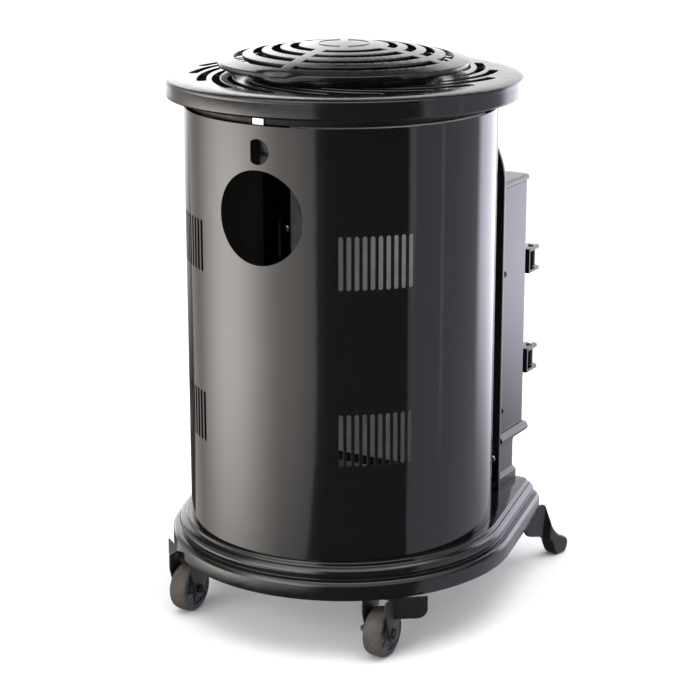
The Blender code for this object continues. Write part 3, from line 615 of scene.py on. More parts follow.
def make_castor(side, sign):
    """Folded bracket with a fork and an ear, a clevis pin, a rubber tyre and a ribbed hub."""
    x, y, z = sign * CASTOR_X, CASTOR_Y, WHEEL_R
    inner, outer = FORK_INNER, FORK_OUTER

    def cheek(low, high):
        outline = arc((y, z), 0.0115, 190, 350, 16) + [(y + 0.021, 0.060), (y + 0.021, FOOT_TOP)]
        outline += [(y - 0.020, FOOT_TOP), (y - 0.020, 0.062)]
        outlines = [rounded(outline, 0.003), circle((y, z), 0.0045, 24)]
        sheet = plate("cheek", outlines, high - low, 0.0005)
        return moved(sheet, at((low + high) / 2, 0, 0) @ SIDEWAYS)

    top = rectangle((-outer, outer), (y - 0.020, y + 0.006), 0.002)
    bridge = plate("bridge", [top], 0.0025, 0.0006)
    moved(bridge, at(x, 0, FOOT_TOP - 0.00125))
    ear_outline = [(-0.002, 0.051), (0.0335, 0.051)] + arc((0.0315, 0.063), 0.012, 275, 360, 8)
    ear_outline += [(0.0435, FOOT_TOP), (-0.002, FOOT_TOP)]
    run = Vector((sign * 0.786, -0.618, 0)).normalized()
    across = run.cross(Vector((0, 0, 1)))
    ear_axes = Matrix((run, (0, 0, 1), across)).transposed().to_4x4()
    ear = plate("ear", [ear_outline], 0.0025, 0.0005)
    moved(ear, at(sign * 0.1620, CASTOR_Y, 0) @ ear_axes)
    cheeks = [cheek(x + inner, x + outer), cheek(x - outer, x - inner)]
    add(joined("fork_" + side, *cheeks, bridge, ear), "castor_bracket_" + side)

    facing = TO_RIGHT if sign > 0 else TO_LEFT
    place = at(x, y, z) @ facing
    head = [(0, 0.0215), (0.0045, 0.0215), (0.0063, 0.0205), (0.0065, 0.0180), (0.0040, 0.0180)]
    shank = [(0.0040, -0.0190), (0.0060, -0.0190), (0.0060, -0.0215), (0.0034, -0.0215)]
    pin = turned("pin", head + shank + [(0.0034, -0.0270), (0.0030, -0.0275), (0, -0.0275)], 40)
    wire = [(0.0038 + 0.0008 * math.cos(t), 0.0008 * math.sin(t)) for t in
            [math.pi * k / 4 for k in range(8)]]
    ring = turned("ring", wire, 24, closed=True)
    moved(ring, at(0, 0.0038, -0.0245) @ TO_BACK)
    add(moved(joined("clevis_pin_" + side, pin, ring), place), "castor_axle_" + side)

    half = WHEEL_HALF
    tread = [(0.0262, half), (0.0278, half), (0.0294, half - 0.0010), (0.0309, half - 0.0045)]
    tread += [(0.0314, half - 0.0085)]
    profile = tread + [(WHEEL_R, 0.0)] + [(r, -h) for r, h in reversed(tread)]
    tyre = turned("tyre_shape_" + side, rounded(profile, 0.0010, 3), 96, closed=True, sharp=50)
    add(moved(tyre, place), "castor_tyre_" + side)

    face = [(0.0048, half), (0.0098, half), (0.0108, half - 0.0040), (0.0130, half - 0.0052)]
    face += [(0.0200, half - 0.0050), (0.0222, half - 0.0034), (0.0232, half - 0.0002)]
    face += [(0.0242, half), (0.0250, half - 0.0009), (0.0259, half - 0.0007)]
    profile = face + [(r, -h) for r, h in reversed(face)]
    hub = turned("hub_shape_" + side, rounded(profile, 0.0006, 3), 80, closed=True)
    ribs = []
    for k in range(5):
        turn = Matrix.Rotation(math.radians(72 * k), 4, "Z")
        for end in (-1, 1):
            rib = plate("rib", [rectangle((0.0100, 0.0215), (-0.0008, 0.0008))], 0.0030, 0.0003)
            ribs.append(moved(rib, turn @ at(0, 0, end * (half - 0.0048))))
    add(moved(joined("hub_all_" + side, hub, *ribs), place), "castor_hub_" + side)


# Screws


def screw(radius=0.0042, height=0.0026):
    """Pan head with a cross recess, standing on z = 0."""
    profile = [(0, height), (radius * 0.45, height * 0.97), (radius * 0.80, height * 0.75)]
    profile += [(radius, height * 0.32), (radius, 0), (0, 0)]
    head = turned("head", rounded(profile, 0.0003, 3, closed=False), 40)
    wide, deep = radius * 0.13, radius * 0.58
    cross = [(wide, wide), (wide, deep), (-wide, deep), (-wide, wide)]
    cross += [(-deep, wide), (-deep, -wide), (-wide, -wide), (-wide, -deep)]
    cross += [(wide, -deep), (wide, -wide), (deep, -wide), (deep, wide)]
    recess = plate("recess", [cross], height * 1.4, 0.00002, 1)
    return cut(head, moved(recess, at(0, 0, height * 1.15)))


def make_screws():
    for side, sign in SIDES:
        put = at(sign * 0.153, PANEL_EDGE_Y + GAP, 0.465) @ TO_BACK
        add(moved(screw(), put), "divider_screw_" + side)
        put = at(sign * 0.146, FASCIA_BACK + GAP, 0.168) @ TO_BACK
        add(moved(screw(), put), "fascia_screw_" + side)
        for level, z in (("lower", 0.232), ("upper", 0.424)):
            facing = TO_RIGHT if sign > 0 else TO_LEFT
            put = at(sign * (BAY_HALF + GAP), -0.176, z) @ facing
            add(moved(screw(), put), "housing_screw_" + side + "_" + level)
    for level, z in HINGE_Z.items():
        put = at(HINGE_X, BAY_FRONT - GAP - 0.003 - GAP, z) @ TO_FRONT
        add(moved(screw(0.0038), put), "hinge_screw_" + level)


# Round body


def on_cover(points, z):
    """Outline cut straight through the cover at the rear centre line."""
    return [(COVER_R * math.asin(x / COVER_R), y + z) for x, y in points]


def make_cover():
    half = COVER_R * COVER_HALF
    outlines = [rectangle((-half, half), (COVER_BOTTOM, COVER_TOP), 0.002, 3)]
    slot = arc((0, 0.0305), 0.00275, 0, 180, 10) + arc((0, -0.0305), 0.00275, 180, 360, 10)
    for z in (0.2818, 0.5048):
        for sign in (-1, 1):
            for i in range(10):
                middle = sign * COVER_R * math.radians(30 + 2.8 * i)
                outlines.append([(middle + x, z + y) for x, y in slot])
    outlines.append(on_cover(circle((0, 0), 0.0585, 120), 0.555))
    finger = rounded(arc((0.0005, 0), 0.0155, 128, -128, 48), 0.0006, 3)
    outlines.append(on_cover(finger, 0.636))
    add(bent_sheet("cover_shape", outlines, SHEET, 0.00042, COVER_R), "rear_cover")


def make_side_panel(side, sign):
    start = math.degrees(math.asin((FASCIA_BACK + GAP) / COVER_R))
    inner = COVER_R - SHEET
    bend = math.degrees(math.asin((PANEL_EDGE_Y - SHEET) / inner))
    outline = arc((0, 0), COVER_R, start, -PANEL_EDGE_ANGLE, 16)
    outline += [(0.148, PANEL_EDGE_Y), (0.148, PANEL_EDGE_Y - SHEET)]
    outline += arc((0, 0), inner, bend, start, 16)
    height = PLATE_UNDER - GAP - COVER_BOTTOM
    panel = plate("side_sheet_" + side, [outline], height, 0.0003)
    moved(panel, Matrix.Diagonal((sign, 1, 1, 1)))
    add(moved(panel, at(0, 0, COVER_BOTTOM + height / 2)), "side_panel_" + side)


def make_divider():
    y = PANEL_EDGE_Y - SHEET - GAP - DIVIDER_THICK / 2
    outline = rectangle((-0.158, 0.158), (0.155, PLATE_UNDER - GAP), 0.001, 2)
    hole = circle((KNOB_X, CONTROL_Z), 0.0080)
    divider = plate("divider_sheet", [outline, hole], DIVIDER_THICK, 0.0003)
    add(moved(divider, at(0, y, 0) @ UPRIGHT), "divider_panel")


def make_catch():
    """Spring strip that hangs from the plate's underside behind the finger hole."""
    top = PLATE_UNDER - GAP
    run = [(0.181, top - 0.0005), (0.1962, top - 0.0005), (0.1962, 0.665), (0.1800, 0.6165)]
    run = rounded(run, 0.004, 6, closed=False)
    thick = 0.0009
    back = [(y - thick, z - 0.0002) for y, z in run]
    strip = plate("strip", [run + back[::-1]], 0.0152, 0.0002, 1)
    moved(strip, SIDEWAYS)
    strip.name = "catch_strip"
    add(strip, "cover_catch")


def make_fascia():
    half = FASCIA_HALF
    arch = [(half * math.cos(t), ARCH_SPRING + ARCH_RISE * math.sin(t)) for t in
            [math.pi * i / 72 for i in range(73)]]
    outline = [(-half, COVER_BOTTOM), (half, COVER_BOTTOM)] + arch
    window = rectangle((-0.100, 0.100), (0.215, 0.525), 0.008)
    holes = [window, circle((KNOB_X, CONTROL_Z), 0.0060), circle((BUTTON_X, CONTROL_Z), 0.0085)]
    front = plate("fascia_body", [outline] + holes, FASCIA_THICK, 0.0011, 4)
    moved(front, at(0, FASCIA_BACK - FASCIA_THICK / 2, 0) @ UPRIGHT)
    add(front, "fascia")
    outline = rectangle((-0.1195, 0.1195), (0.535, PLATE_UNDER - GAP), 0.001, 2)
    sheet = plate("spandrel_sheet", [outline] + holes[1:], 0.001, 0.0003)
    add(moved(sheet, at(0, FASCIA_BACK + GAP + 0.0005, 0) @ UPRIGHT), "spandrel_panel")


# Top plate and lid


def dome(radius):
    return 0.7435 - 0.82 * radius * radius


def swirl_outline(end_degrees):
    """A slot that sweeps out from under the lid and widens to a round outer end."""
    inner, outer = (0.150, 0.0022), (0.1905, 0.0062)
    left, right = [], []
    steps = 16
    for i in range(steps + 1):
        along = i / steps
        radius = inner[0] + (outer[0] - inner[0]) * along
        half = inner[1] + (outer[1] - inner[1]) * math.sqrt(along)
        turn = math.radians(end_degrees - 44 * (1 - along))
        left.append((radius + half, turn))
        right.append((radius - half, turn))
    tip = []
    for k in range(1, 8):
        swing = math.pi * k / 8
        turn = math.radians(end_degrees) + math.sin(swing) * outer[1] / outer[0]
        tip.append((outer[0] - outer[1] * math.cos(swing), turn))
    polar = right + tip + left[::-1]
    return [(r * math.cos(t), r * math.sin(t)) for r, t in polar]


def shade_flange_rings():
    """Dark flange under the plate, just inside the round cover: painted shade that fills the gap
    above the cover.
    """
    section = ((0.1935, 0.6985), (0.1965, 0.6985), (0.1935, 0.6686), (0.1910, 0.6686))
    rings = []
    for turn in steps_between(-33, 213, 2.5):
        c, s = math.cos(math.radians(turn)), math.sin(math.radians(turn))
        rings.append([(r * c, r * s, z) for r, z in section])
    return rings


def make_top_plate():
    outlines = [circle((0, 0), PLATE_R, 240), circle((0, 0), 0.1170, 120)]
    outlines += [swirl_outline(53 + 360 // SWIRLS * i) for i in range(SWIRLS)]
    thick = 0.0052

    def crown(x, y):
        radius = math.hypot(x, y)
        slope = 0.7085 - 0.0020 * (radius - COLLAR_R) / 0.069
        fall = 0.0026 * max(0.0, (radius - 0.205) / 0.0225) ** 3
        return slope - fall - thick / 2

    plate_top = lifted(plate("plate_top", outlines, thick, 0.0009, 4), crown)
    skirt = [(0.2269, PLATE_UNDER), (PLATE_R, 0.6822), (0.2262, 0.6800), (0.2232, 0.6800)]
    skirt += [(0.2222, 0.6930), (0.2180, 0.7000)]
    skirt = turned("skirt", rounded(skirt, 0.0012, 4), 240, closed=True)
    top = dome(COLLAR_R) - LID_THICK - 0.0020
    section = [(0.1150, 0.7020), (COLLAR_R, 0.7020), (COLLAR_R, top), (0.1150, top)]
    collar = turned("collar", section, 160, True)
    whole = joined("plate_casting", plate_top, skirt, collar)
    add(moved(whole, at(0, PLATE_Y, 0)), "top_plate")
    # This flange is painted shade: a dark sheet in rough dark paint that keeps the gap between the
    # plate and the cover dark.
    flange = loft("shade_flange", shade_flange_rings(), closed=False)
    add(flange, body="cabinet", slot="bracket_paint")


def make_lid():
    spoke, width = 0.016, 0.0110
    outlines = [circle((0, 0), LID_R, 200)]
    for radius in (0.0625, 0.0860, 0.1095, 0.1340):
        inner, outer = radius - width / 2, radius + width / 2
        short = math.degrees(math.asin(spoke / 2 / inner))
        long = math.degrees(math.asin(spoke / 2 / outer))
        for quarter in range(4):
            start = 90 * quarter
            run = arc((0, 0), outer, start + long, start + 90 - long, 40)
            run += arc((0, 0), inner, start + 90 - short, start + short, 40)
            outlines.append(run)

    def crown(x, y):
        radius = math.hypot(x, y)
        scoop = smooth(1.25 - abs(x) / 0.028) * smooth((y - 0.1475) / 0.011)
        return dome(radius) - LID_THICK / 2 - 0.0048 * scoop

    top = lifted(plate("lid_top", outlines, LID_THICK, 0.0008, 4), crown, 0.005)
    lip = [(LID_R, 0.7205), (LID_R, 0.7165), (0.1585, 0.7155), (0.1565, 0.7155)]
    lip.append((0.1545, 0.7195))
    lip = turned("lip", rounded(lip, 0.0008, 3), 200, closed=True)
    for vertex in lip.data.vertices:
        scoop = smooth(1.25 - abs(vertex.co.x) / 0.028) if vertex.co.y > 0 else 0
        vertex.co.z -= 0.0032 * scoop * smooth((vertex.co.z - 0.7165) / 0.004)
    beads = []
    bead_r = 0.0325
    for low, high in ((12, 168), (192, 348)):
        turns = [math.radians(a) for a in range(low + 120, high + 121, 4)]
        ring = [Vector((bead_r * math.cos(t), bead_r * math.sin(t), 0)) for t in turns]
        beads.append(bead("ring", ring, 0.0009))
        for end in (ring[0], ring[-1]):
            dot = turned("dot", [(0, 0.0012), (0.0012, 0.0009), (0.0019, 0), (0, -0.001)], 20)
            beads.append(moved(dot, at(end.x, end.y, 0)))
    for part in beads:
        moved(part, at(0, 0, dome(bead_r) - 0.0002))
    whole = joined("lid_casting", top, lip, *beads)
    add(moved(whole, at(0, PLATE_Y, 0)), "grille_lid")


def bead(name, points, radius):
    """Half-round bead along a run of points."""
    curve = bpy.data.curves.new(name, "CURVE")
    curve.dimensions = "3D"
    curve.bevel_depth = radius
    curve.bevel_resolution = 3
    curve.use_fill_caps = True
    spline = curve.splines.new("POLY")
    spline.points.add(len(points) - 1)
    for point, co in zip(spline.points, points):
        point.co = (*co, 1)
    guide = bpy.data.objects.new(name, curve)
    bpy.context.scene.collection.objects.link(guide)
    graph = bpy.context.evaluated_depsgraph_get()
    mesh = bpy.data.meshes.new_from_object(guide.evaluated_get(graph))
    bpy.data.objects.remove(guide)
    mesh.shade_smooth()
    return bpy.data.objects.new(name, mesh)


# Firebox


def bay_ring(half, front, corner, z, back=BAY_BACK):
    """Ring in plan like the firebox: square at the back, rounded front corners."""
    left = arc((-half + corner, front + corner), corner, 180, 270, 12)
    right = arc((half - corner, front + corner), corner, 270, 360, 12)
    return [(x, y, z) for x, y in [(half, back), (-half, back)] + left + right]


def make_plinth():
    section = [(0.1505, -0.2345, 0.1238), (0.1505, -0.2345, 0.1345), (0.1465, -0.2310, 0.1390)]
    section += [(0.1465, -0.2310, 0.1765), (0.1470, -0.2360, 0.1825), (0.1520, -0.2530, 0.1850)]
    section += [(0.1560, -0.2575, 0.1875), (0.1570, -0.2585, 0.1915), (0.1555, -0.2570, 0.1958)]
    section += [(0.1500, -0.2510, 0.1990), (0.1440, -0.2440, 0.1990)]
    section = rounded(section, 0.0016, 4, closed=False)
    rings = [bay_ring(half, front, 0.012, z) for half, front, z in section]
    for z in (0.1990, 0.1238):
        rings.append(bay_ring(0.1380, -0.2205, 0.012, z, BAY_BACK - 0.012))
    add(loft("plinth_casting", rings), "plinth")


def make_housing():
    outer = [p[:2] for p in bay_ring(BAY_HALF, BAY_FRONT, 0.010, 0)]
    inner = [p[:2] for p in bay_ring(0.146, -0.246, 0.006, 0)]
    outline = outer[1:] + outer[:1] + inner[:1] + inner[:0:-1]
    height = BAY_TOP - BAY_BOTTOM
    housing = plate("housing_sheet", [outline], height, 0.0006)
    moved(housing, at(0, 0, BAY_BOTTOM + height / 2))
    doorway = plate("doorway", [rectangle(DOORWAY_X, DOORWAY_Z, 0.006)], 0.03, 0.0001, 1)
    add(cut(housing, moved(doorway, at(0, BAY_FRONT, 0) @ UPRIGHT)), "firebox_housing")


def make_cap():
    low = BAY_TOP + GAP
    section = [(0.1485, -0.2540, low), (0.1517, -0.2572, low + 0.0008)]
    section += [(0.1520, -0.2575, low + 0.0040), (0.1510, -0.2565, low + 0.0066)]
    section.append((0.1470, -0.2525, low + 0.0075))
    section = rounded(section, 0.0012, 4, closed=False)
    rings = [bay_ring(half, front, 0.014, z) for half, front, z in section]
    cap = loft("cap", rings, closed=False)
    lip = [(-0.2575, low + 0.0035), (-0.2540, low + 0.0035), (-0.2540, 0.5300)]
    lip += [(-0.2552, 0.5224), (-0.2564, 0.5215), (-0.2575, 0.5238)]
    lip = moved(plate("lip", [rounded(lip, 0.0008, 4)], 0.280, 0.0006), SIDEWAYS)
    add(joined("cap_casting", cap, lip), "housing_cap")


def make_hinge(level):
    z = HINGE_Z[level]
    back, reach = BAY_FRONT - GAP, -0.291
    plan = [(-0.011, back), (-0.011, reach + 0.006), (-0.005, reach), (0.005, reach)]
    plan += [(0.011, reach + 0.006), (0.011, back)]
    outlines = [rounded(plan, 0.004, 5), circle((0, HINGE_Y), HINGE_BORE_R, 32)]
    parts = []
    for up in (-1, 1):
        flange = plate("flange", outlines, 0.004, 0.0008, 3)
        parts.append(moved(flange, at(HINGE_X, 0, z + up * 0.015)))
    web = plate("web", [rectangle((-0.011, 0.011), (-0.0165, 0.0165), 0.0008)], 0.003, 0.0006, 3)
    parts.append(moved(web, at(HINGE_X, back - 0.0015, z) @ UPRIGHT))
    add(joined("lug_casting_" + level, *parts), "hinge_lug_" + level)
    profile = [(0, z + 0.0203), (0.0026, z + 0.0203), (0.0045, z + 0.0190), (0.0048, z + 0.0174)]
    profile += [(0.0030, z + 0.0174), (0.0030, z - 0.0190), (0.0020, z - 0.0200), (0, z - 0.0200)]
    pin = turned("pin_shape_" + level, profile, 40)
    add(moved(pin, at(HINGE_X, HINGE_Y, 0)), "hinge_pin_" + level)


def make_coals():
    """Loose ceramic coals, each a worn angular lump."""
    bm = bmesh.new()
    rows = ((-0.2245, 0.0, 9, 0.2640), (-0.2010, 0.5, 8, 0.2650), (-0.2150, 0.35, 8, 0.2780))
    number = 0
    for y, shift, count, z in rows:
        for i in range(count):
            number += 1
            x = -0.094 + (i + shift) * 0.188 / 8.6
            seed = Vector((number * 3.1, number * 1.7, number * 0.9))
            size = 0.0112 + 0.0016 * noise.noise(seed)
            made = bmesh.ops.create_icosphere(bm, subdivisions=4, radius=1.0)["verts"]
            turn = Matrix.Rotation(number * 1.3, 4, "Z") @ Matrix.Rotation(number * 0.7, 4, "X")
            nudge = (0.003 * noise.noise(seed * 1.7), 0.002 * noise.noise(seed * 2.3))
            centre = Vector((x, y + nudge[0], z + nudge[1]))
            for vertex in made:
                way = vertex.co.normalized()
                chip = noise.noise(way * 1.3 + seed) * 0.30
                chip += noise.noise(way * 3.2 + seed) * 0.13
                facet = noise.cell(way * 2.1 + seed) * 0.06
                lump = way * size * (1 + chip + facet)
                lump = turn @ Vector((lump.x * 1.15, lump.y, lump.z * 0.92))
                vertex.co = centre + lump
    low, high = Vector((-0.108, -0.236, 0.2525)), Vector((0.108, -0.186, 0.2930))
    for vertex in bm.verts:
        vertex.co = [min(max(c, a), b) for c, a, b in zip(vertex.co, low, high)]
    coals = mesh_object("coals", bm, 60)
    add(coals, "coal_bed")


# Door and controls


def make_door():
    x, z = DOOR_X, DOOR_Z
    panes = []
    for low_x in (x[0] + 0.022, x[0] + 0.138):
        for low_z in (z[0] + 0.030, z[0] + 0.166):
            panes.append(((low_x, low_x + 0.100), (low_z, low_z + 0.118)))
    outlines = [rectangle(x, z, 0.008)] + [rectangle(*pane, 0.010) for pane in panes]
    middle = DOOR_BACK - DOOR_THICK / 2
    parts = [moved(plate("frame", outlines, DOOR_THICK, 0.0016, 4), at(0, middle, 0) @ UPRIGHT)]
    border = rectangle((x[0] + 0.006, x[1] - 0.006), (z[0] + 0.006, z[1] - 0.006), 0.006)
    line = [Vector((px, middle - 0.0040, pz)) for px, pz in border]
    parts.append(bead("border", line + line[:1], 0.0009))
    for pane_x, pane_z in panes:
        wide, tall = [(low - 0.004, high + 0.004) for low, high in (pane_x, pane_z)]
        edge = rectangle(wide, tall, 0.013)
        line = [Vector((px, middle - 0.0038, pz)) for px, pz in edge]
        parts.append(bead("moulding", line + line[:1], 0.0013))
    for level, height in HINGE_Z.items():
        plan = [(0.0, -0.0060), (0.0305, -0.0060), (0.0305, 0.0225), (0.021, 0.0225)]
        plan.append((0.021, 0.0060))
        plan = rounded(plan, 0.003, 5, closed=False) + arc((0, 0), 0.0060, 90, 270, 16)[:-1]
        hole = circle((0, 0), HINGE_BORE_R, 32)
        ear = plate("ear", [plan, hole], 0.024, 0.0010, 3)
        parts.append(moved(ear, at(HINGE_X, HINGE_Y, height)))
    add(joined("door_casting", *parts), "door_frame")

    glass = plate("glass_pane", [rectangle((-0.119, 0.1175), (0.222, 0.506), 0.002)], 0.004, 0.0004)
    add(moved(glass, at(0, DOOR_BACK + GAP + 0.002, 0) @ UPRIGHT), "door_glass")

    ball = [(0, 0.0380), (0.0045, 0.0375), (0.0090, 0.0355), (0.0122, 0.0315), (0.0135, 0.0262)]
    ball += [(0.0128, 0.0215), (0.0100, 0.0178), (0.0062, 0.0150)]
    neck = [(0.0050, 0.0120), (0.0050, 0.0070), (0.0058, 0.0045), (0.0085, 0.0030)]
    neck += [(0.0085, 0.0), (0, 0.0)]
    knob = turned("door_pull", rounded(ball + neck, 0.0012, 3, closed=False), 64)
    low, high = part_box("door_knob")
    put = at((low.x + high.x) / 2, high.y - AXIS_Y, (low.z + high.z) / 2) @ TO_FRONT
    add(moved(knob, put), "door_knob")


def make_controls():
    profile = [(0, 0.0240), (0.0135, 0.0240), (0.0160, 0.0228), (0.0172, 0.0200), (0.0180, 0.0030)]
    profile += [(0.0180, 0.0), (0.0034, 0.0), (0.0034, 0.0195), (0, 0.0195)]
    knob = turned("body", rounded(profile, 0.0008, 4, closed=False), 96)
    flutes = []
    for k in range(18):
        turn = math.radians(20 * k)
        groove = [(0, -0.001), (0.0011, -0.001), (0.0011, 0.019), (0, 0.0205)]
        groove = turned("flute", groove, 12)
        flutes.append(moved(groove, at(0.0184 * math.cos(turn), 0.0184 * math.sin(turn), 0)))
    knob = cut(knob, joined("flutes", *flutes))
    bar = rectangle((-0.0035, 0.0035), (-0.0150, 0.0150), 0.0020)
    grip = plate("grip", [bar], 0.0060, 0.0012, 4)
    moved(grip, at(0, 0, 0.0250))
    put = at(KNOB_X, KNOB_BACK, CONTROL_Z) @ TO_FRONT
    add(moved(joined("knob_shape", knob, grip), put), "control_knob")
    line = rectangle((-0.0006, 0.0006), (0.004, 0.0138), 0.0003)
    mark = plate("pointer", [line], 0.0006, 0.0001)
    add(moved(mark, put @ at(0, 0, 0.0281)), body="knob", slot="zinc_plate")

    button = [(0, 0.0), (0.0060, 0.0), (0.0074, -0.0008), (0.0078, -0.0030)]
    button += [(0.0078, -0.0160), (0, -0.0160)]
    button = turned("button_shape", rounded(button, 0.0010, 4, closed=False), 64)
    put = at(BUTTON_X, BUTTON_FRONT, CONTROL_Z) @ TO_FRONT
    add(moved(button, put), "igniter_button")
    bezel = [(0.0086, 0.0), (0.0120, 0.0), (0.0115, 0.0018), (0.0098, 0.0026), (0.0086, 0.0022)]
    bezel = turned("button_bezel", rounded(bezel, 0.0005, 3), 64, closed=True)
    put = at(BUTTON_X, TRIM_BACK, CONTROL_Z) @ TO_FRONT
    add(moved(bezel, put), body="cabinet", slot="zinc_plate")
    trim = [(0.0190, 0.0), (0.0228, 0.0), (0.0224, 0.0014), (0.0212, 0.0022), (0.0190, 0.0022)]
    trim = turned("knob_plate", rounded(trim, 0.0003, 3), 80, closed=True)
    put = at(KNOB_X, TRIM_BACK, CONTROL_Z) @ TO_FRONT
    add(moved(trim, put), body="cabinet", slot="zinc_plate")


make_base()
for side, sign in SIDES:
    make_leg(side, sign)
    make_castor(side, sign)
    make_side_panel(side, sign)
make_cover()
make_divider()
make_catch()
make_fascia()
make_top_plate()
make_lid()
make_plinth()
make_housing()
make_cap()
for level in HINGE_Z:
    make_hinge(level)
make_screws()
make_coals()
make_door()
make_controls()
for node, obj in frame["nodes"].items():
    obj.data.materials.clear()
    obj.data.materials.append(LOOKS[SLOT[node]].material)


# Stage, light and camera

WARM = (1.07, 1.0, 0.94)
COOL = (0.96, 0.95, 1.10)
PLAIN = (1.0, 1.0, 1.0)
LEAN_BELOW = -17.0
LEAN_RATE = 0.34

CAMERA_AT = (-1.2842, 2.2410, 1.0736)
CAMERA_AZIMUTH = math.radians(209.984)
CAMERA_TILT = math.radians(15.24)
CAMERA_LENS = 103.9
CAMERA_SHIFT = -0.04


def make_floor():
    bpy.ops.mesh.primitive_plane_add(size=24)
    floor = bpy.context.object
    floor.name = "floor"
    look = Look("pale_floor", (0.86, 0.86, 0.86), 0.9)
    floor.data.materials.append(look.material)
    floor.visible_glossy = False


def make_world(panels):
    """Studio of soft panels, each given by the directions that it covers, in degrees.

    A panel is (azimuth from +X, half its width, edge softness, low and high elevation,
    edge softness there, strength, colour, leans). One that leans has its far edge drawn
    in towards the bottom.
    """
    world = bpy.data.worlds.new("studio")
    bpy.context.scene.world = world
    world.use_nodes = True
    tree = world.node_tree
    tree.nodes.clear()

    def node(kind, **settings):
        made = tree.nodes.new("ShaderNode" + kind)
        for key, value in settings.items():
            setattr(made, key, value)
        return made

    def put(value, socket):
        if isinstance(value, (int, float)):
            socket.default_value = value
        else:
            tree.links.new(value, socket)

    def maths(operation, *values):
        made = node("Math", operation=operation)
        for value, socket in zip(values, made.inputs):
            put(value, socket)
        return made.outputs[0]

    def ramp(value, low, high):
        made = node("MapRange", interpolation_type="SMOOTHSTEP")
        for number, socket in zip((value, low, high, 0.0, 1.0), made.inputs):
            put(number, socket)
        return made.outputs[0]

    split = node("SeparateXYZ")
    tree.links.new(node("TexCoord").outputs["Generated"], split.inputs[0])
    x, y, z = split.outputs
    azimuth = maths("MULTIPLY", maths("ARCTAN2", y, x), 180 / math.pi)
    elevation = maths("MULTIPLY", maths("ARCSINE", z), 180 / math.pi)
    total = None
    below = maths("MAXIMUM", maths("SUBTRACT", LEAN_BELOW, elevation), 0.0)
    leaning = maths("ADD", azimuth, maths("MULTIPLY", maths("POWER", below, 2.0), LEAN_RATE))
    for centre, half, edge, low, high, edge_up, strength, colour, leans in panels:
        turn = leaning if leans else azimuth
        away = maths("ABSOLUTE", maths("WRAP", maths("SUBTRACT", turn, centre), 180.0, -180.0))
        side = ramp(maths("MULTIPLY", away, -1.0), -half - edge / 2, -half + edge / 2)
        up = ramp(elevation, low - edge_up / 2, low + edge_up / 2)
        sunk = maths("MULTIPLY", elevation, -1.0)
        down = ramp(sunk, -high - edge_up / 2, -high + edge_up / 2)
        amount = maths("MULTIPLY", maths("MULTIPLY", side, maths("MULTIPLY", up, down)), strength)
        scaled = node("VectorMath", operation="SCALE")
        scaled.inputs[0].default_value = colour
        tree.links.new(amount, scaled.inputs["Scale"])
        if total is None:
            total = scaled.outputs[0]
            continue
        summed = node("VectorMath", operation="ADD")
        tree.links.new(total, summed.inputs[0])
        tree.links.new(scaled.outputs[0], summed.inputs[1])
        total = summed.outputs[0]
    lit = node("Background")
    tree.links.new(total, lit.inputs["Color"])
    plain = node("Background")
    plain.inputs["Color"].default_value = (1, 1, 1, 1)
    mix = node("MixShader")
    tree.links.new(node("LightPath").outputs["Is Camera Ray"], mix.inputs[0])
    tree.links.new(lit.outputs[0], mix.inputs[1])
    tree.links.new(plain.outputs[0], mix.inputs[2])
    tree.links.new(mix.outputs[0], node("OutputWorld").inputs[0])


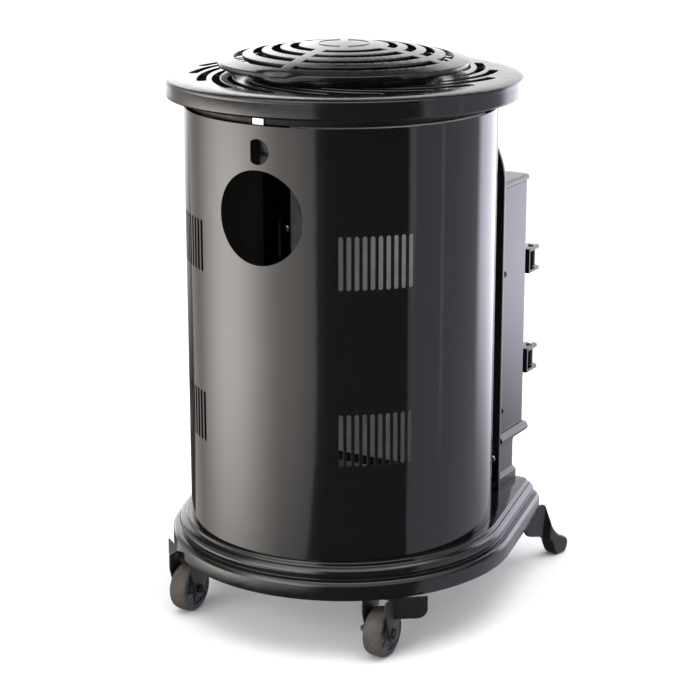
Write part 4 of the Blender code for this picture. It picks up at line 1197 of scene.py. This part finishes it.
def make_card(name, x, y, z, strength, colour):
    """Soft upright card facing the heater, seen only as light and in reflections."""
    bm = bmesh.new()
    corners = [(x[0], y, z[0]), (x[1], y, z[0]), (x[1], y, z[1]), (x[0], y, z[1])]
    bm.faces.new([bm.verts.new(corner) for corner in corners])
    mesh = bpy.data.meshes.new(name)
    bm.to_mesh(mesh)
    bm.free()
    card = bpy.data.objects.new(name, mesh)
    bpy.context.scene.collection.objects.link(card)
    look = Look(name, (0, 0, 0), 1.0)
    tree = look.tree
    tree.nodes.remove(look.shader)
    split = look.node("SeparateXYZ")
    look.link(look.place, split.inputs[0])
    amount = None
    fades = ((0, x[0], x[0] + 0.26), (0, x[1], x[1] - 0.16), (2, z[0], z[0] + 0.60))
    for axis, start, full in fades:
        ramp = look.node("MapRange", interpolation_type="SMOOTHSTEP")
        look.link(split.outputs[axis], ramp.inputs[0])
        ramp.inputs[1].default_value, ramp.inputs[2].default_value = start, full
        amount = look.times(amount, ramp.outputs[0]) if amount else ramp.outputs[0]
    scale = look.node("Math", operation="MULTIPLY")
    scale.inputs[1].default_value = strength
    look.link(amount, scale.inputs[0])
    emission = look.node("Emission")
    emission.inputs["Color"].default_value = (*colour, 1)
    look.link(scale.outputs[0], emission.inputs["Strength"])
    see_through = look.node("BsdfTransparent")
    both = look.node("AddShader")
    look.link(emission.outputs[0], both.inputs[0])
    look.link(see_through.outputs[0], both.inputs[1])
    look.link(both.outputs[0], tree.nodes["Material Output"].inputs[0])
    card.data.materials.append(look.material)
    card.visible_camera = False
    card.visible_shadow = False


def make_lights():
    make_world([
        (0, 360, 1, -90, 90, 1, 0.075, PLAIN, False),
        (0, 360, 1, 60, 100, 16, 2.6, PLAIN, False),
        (120, 120, 30, 28, 100, 14, 1.0, PLAIN, False),
        (38, 64, 3, -25, 16, 7, 0.72, WARM, True),
        (60, 34, 40, -21, -6.5, 11, 1.2, WARM, True),
        (33, 24, 44, -21, -6.5, 11, 4.4, WARM, False),
        (224.5, 54.5, 2.5, -60, 16, 6, 0.60, COOL, False),
        (173.5, 2, 3, -14, 16, 4, 0.35, PLAIN, False),
        (199, 1.2, 1.5, -18, 16, 4, 0.40, PLAIN, False),
        (304, 28, 16, -12, 25, 12, 1.4, PLAIN, False),
        (319, 17, 4, -8, 28, 8, 1.1, PLAIN, False),
        (75, 25, 20, 6, 40, 12, 3.6, PLAIN, False),
    ])
    make_card("right_card", (-0.93, 0.04), -1.05, (-0.30, 1.1), 2.6, COOL)


def make_camera():
    data = bpy.data.cameras.new("camera")
    camera = bpy.data.objects.new("camera", data)
    bpy.context.scene.collection.objects.link(camera)
    camera.location = CAMERA_AT
    level = math.cos(CAMERA_TILT)
    look = Vector((-math.sin(CAMERA_AZIMUTH) * level, math.cos(CAMERA_AZIMUTH) * level,
                   -math.sin(CAMERA_TILT)))
    camera.rotation_mode = "QUATERNION"
    camera.rotation_quaternion = look.to_track_quat("-Z", "Y")
    data.sensor_width = 36
    data.lens = CAMERA_LENS
    data.shift_y = CAMERA_SHIFT
    bpy.context.scene.camera = camera


make_floor()
make_lights()
make_camera()
bpy.context.scene.view_settings.view_transform = "Standard"
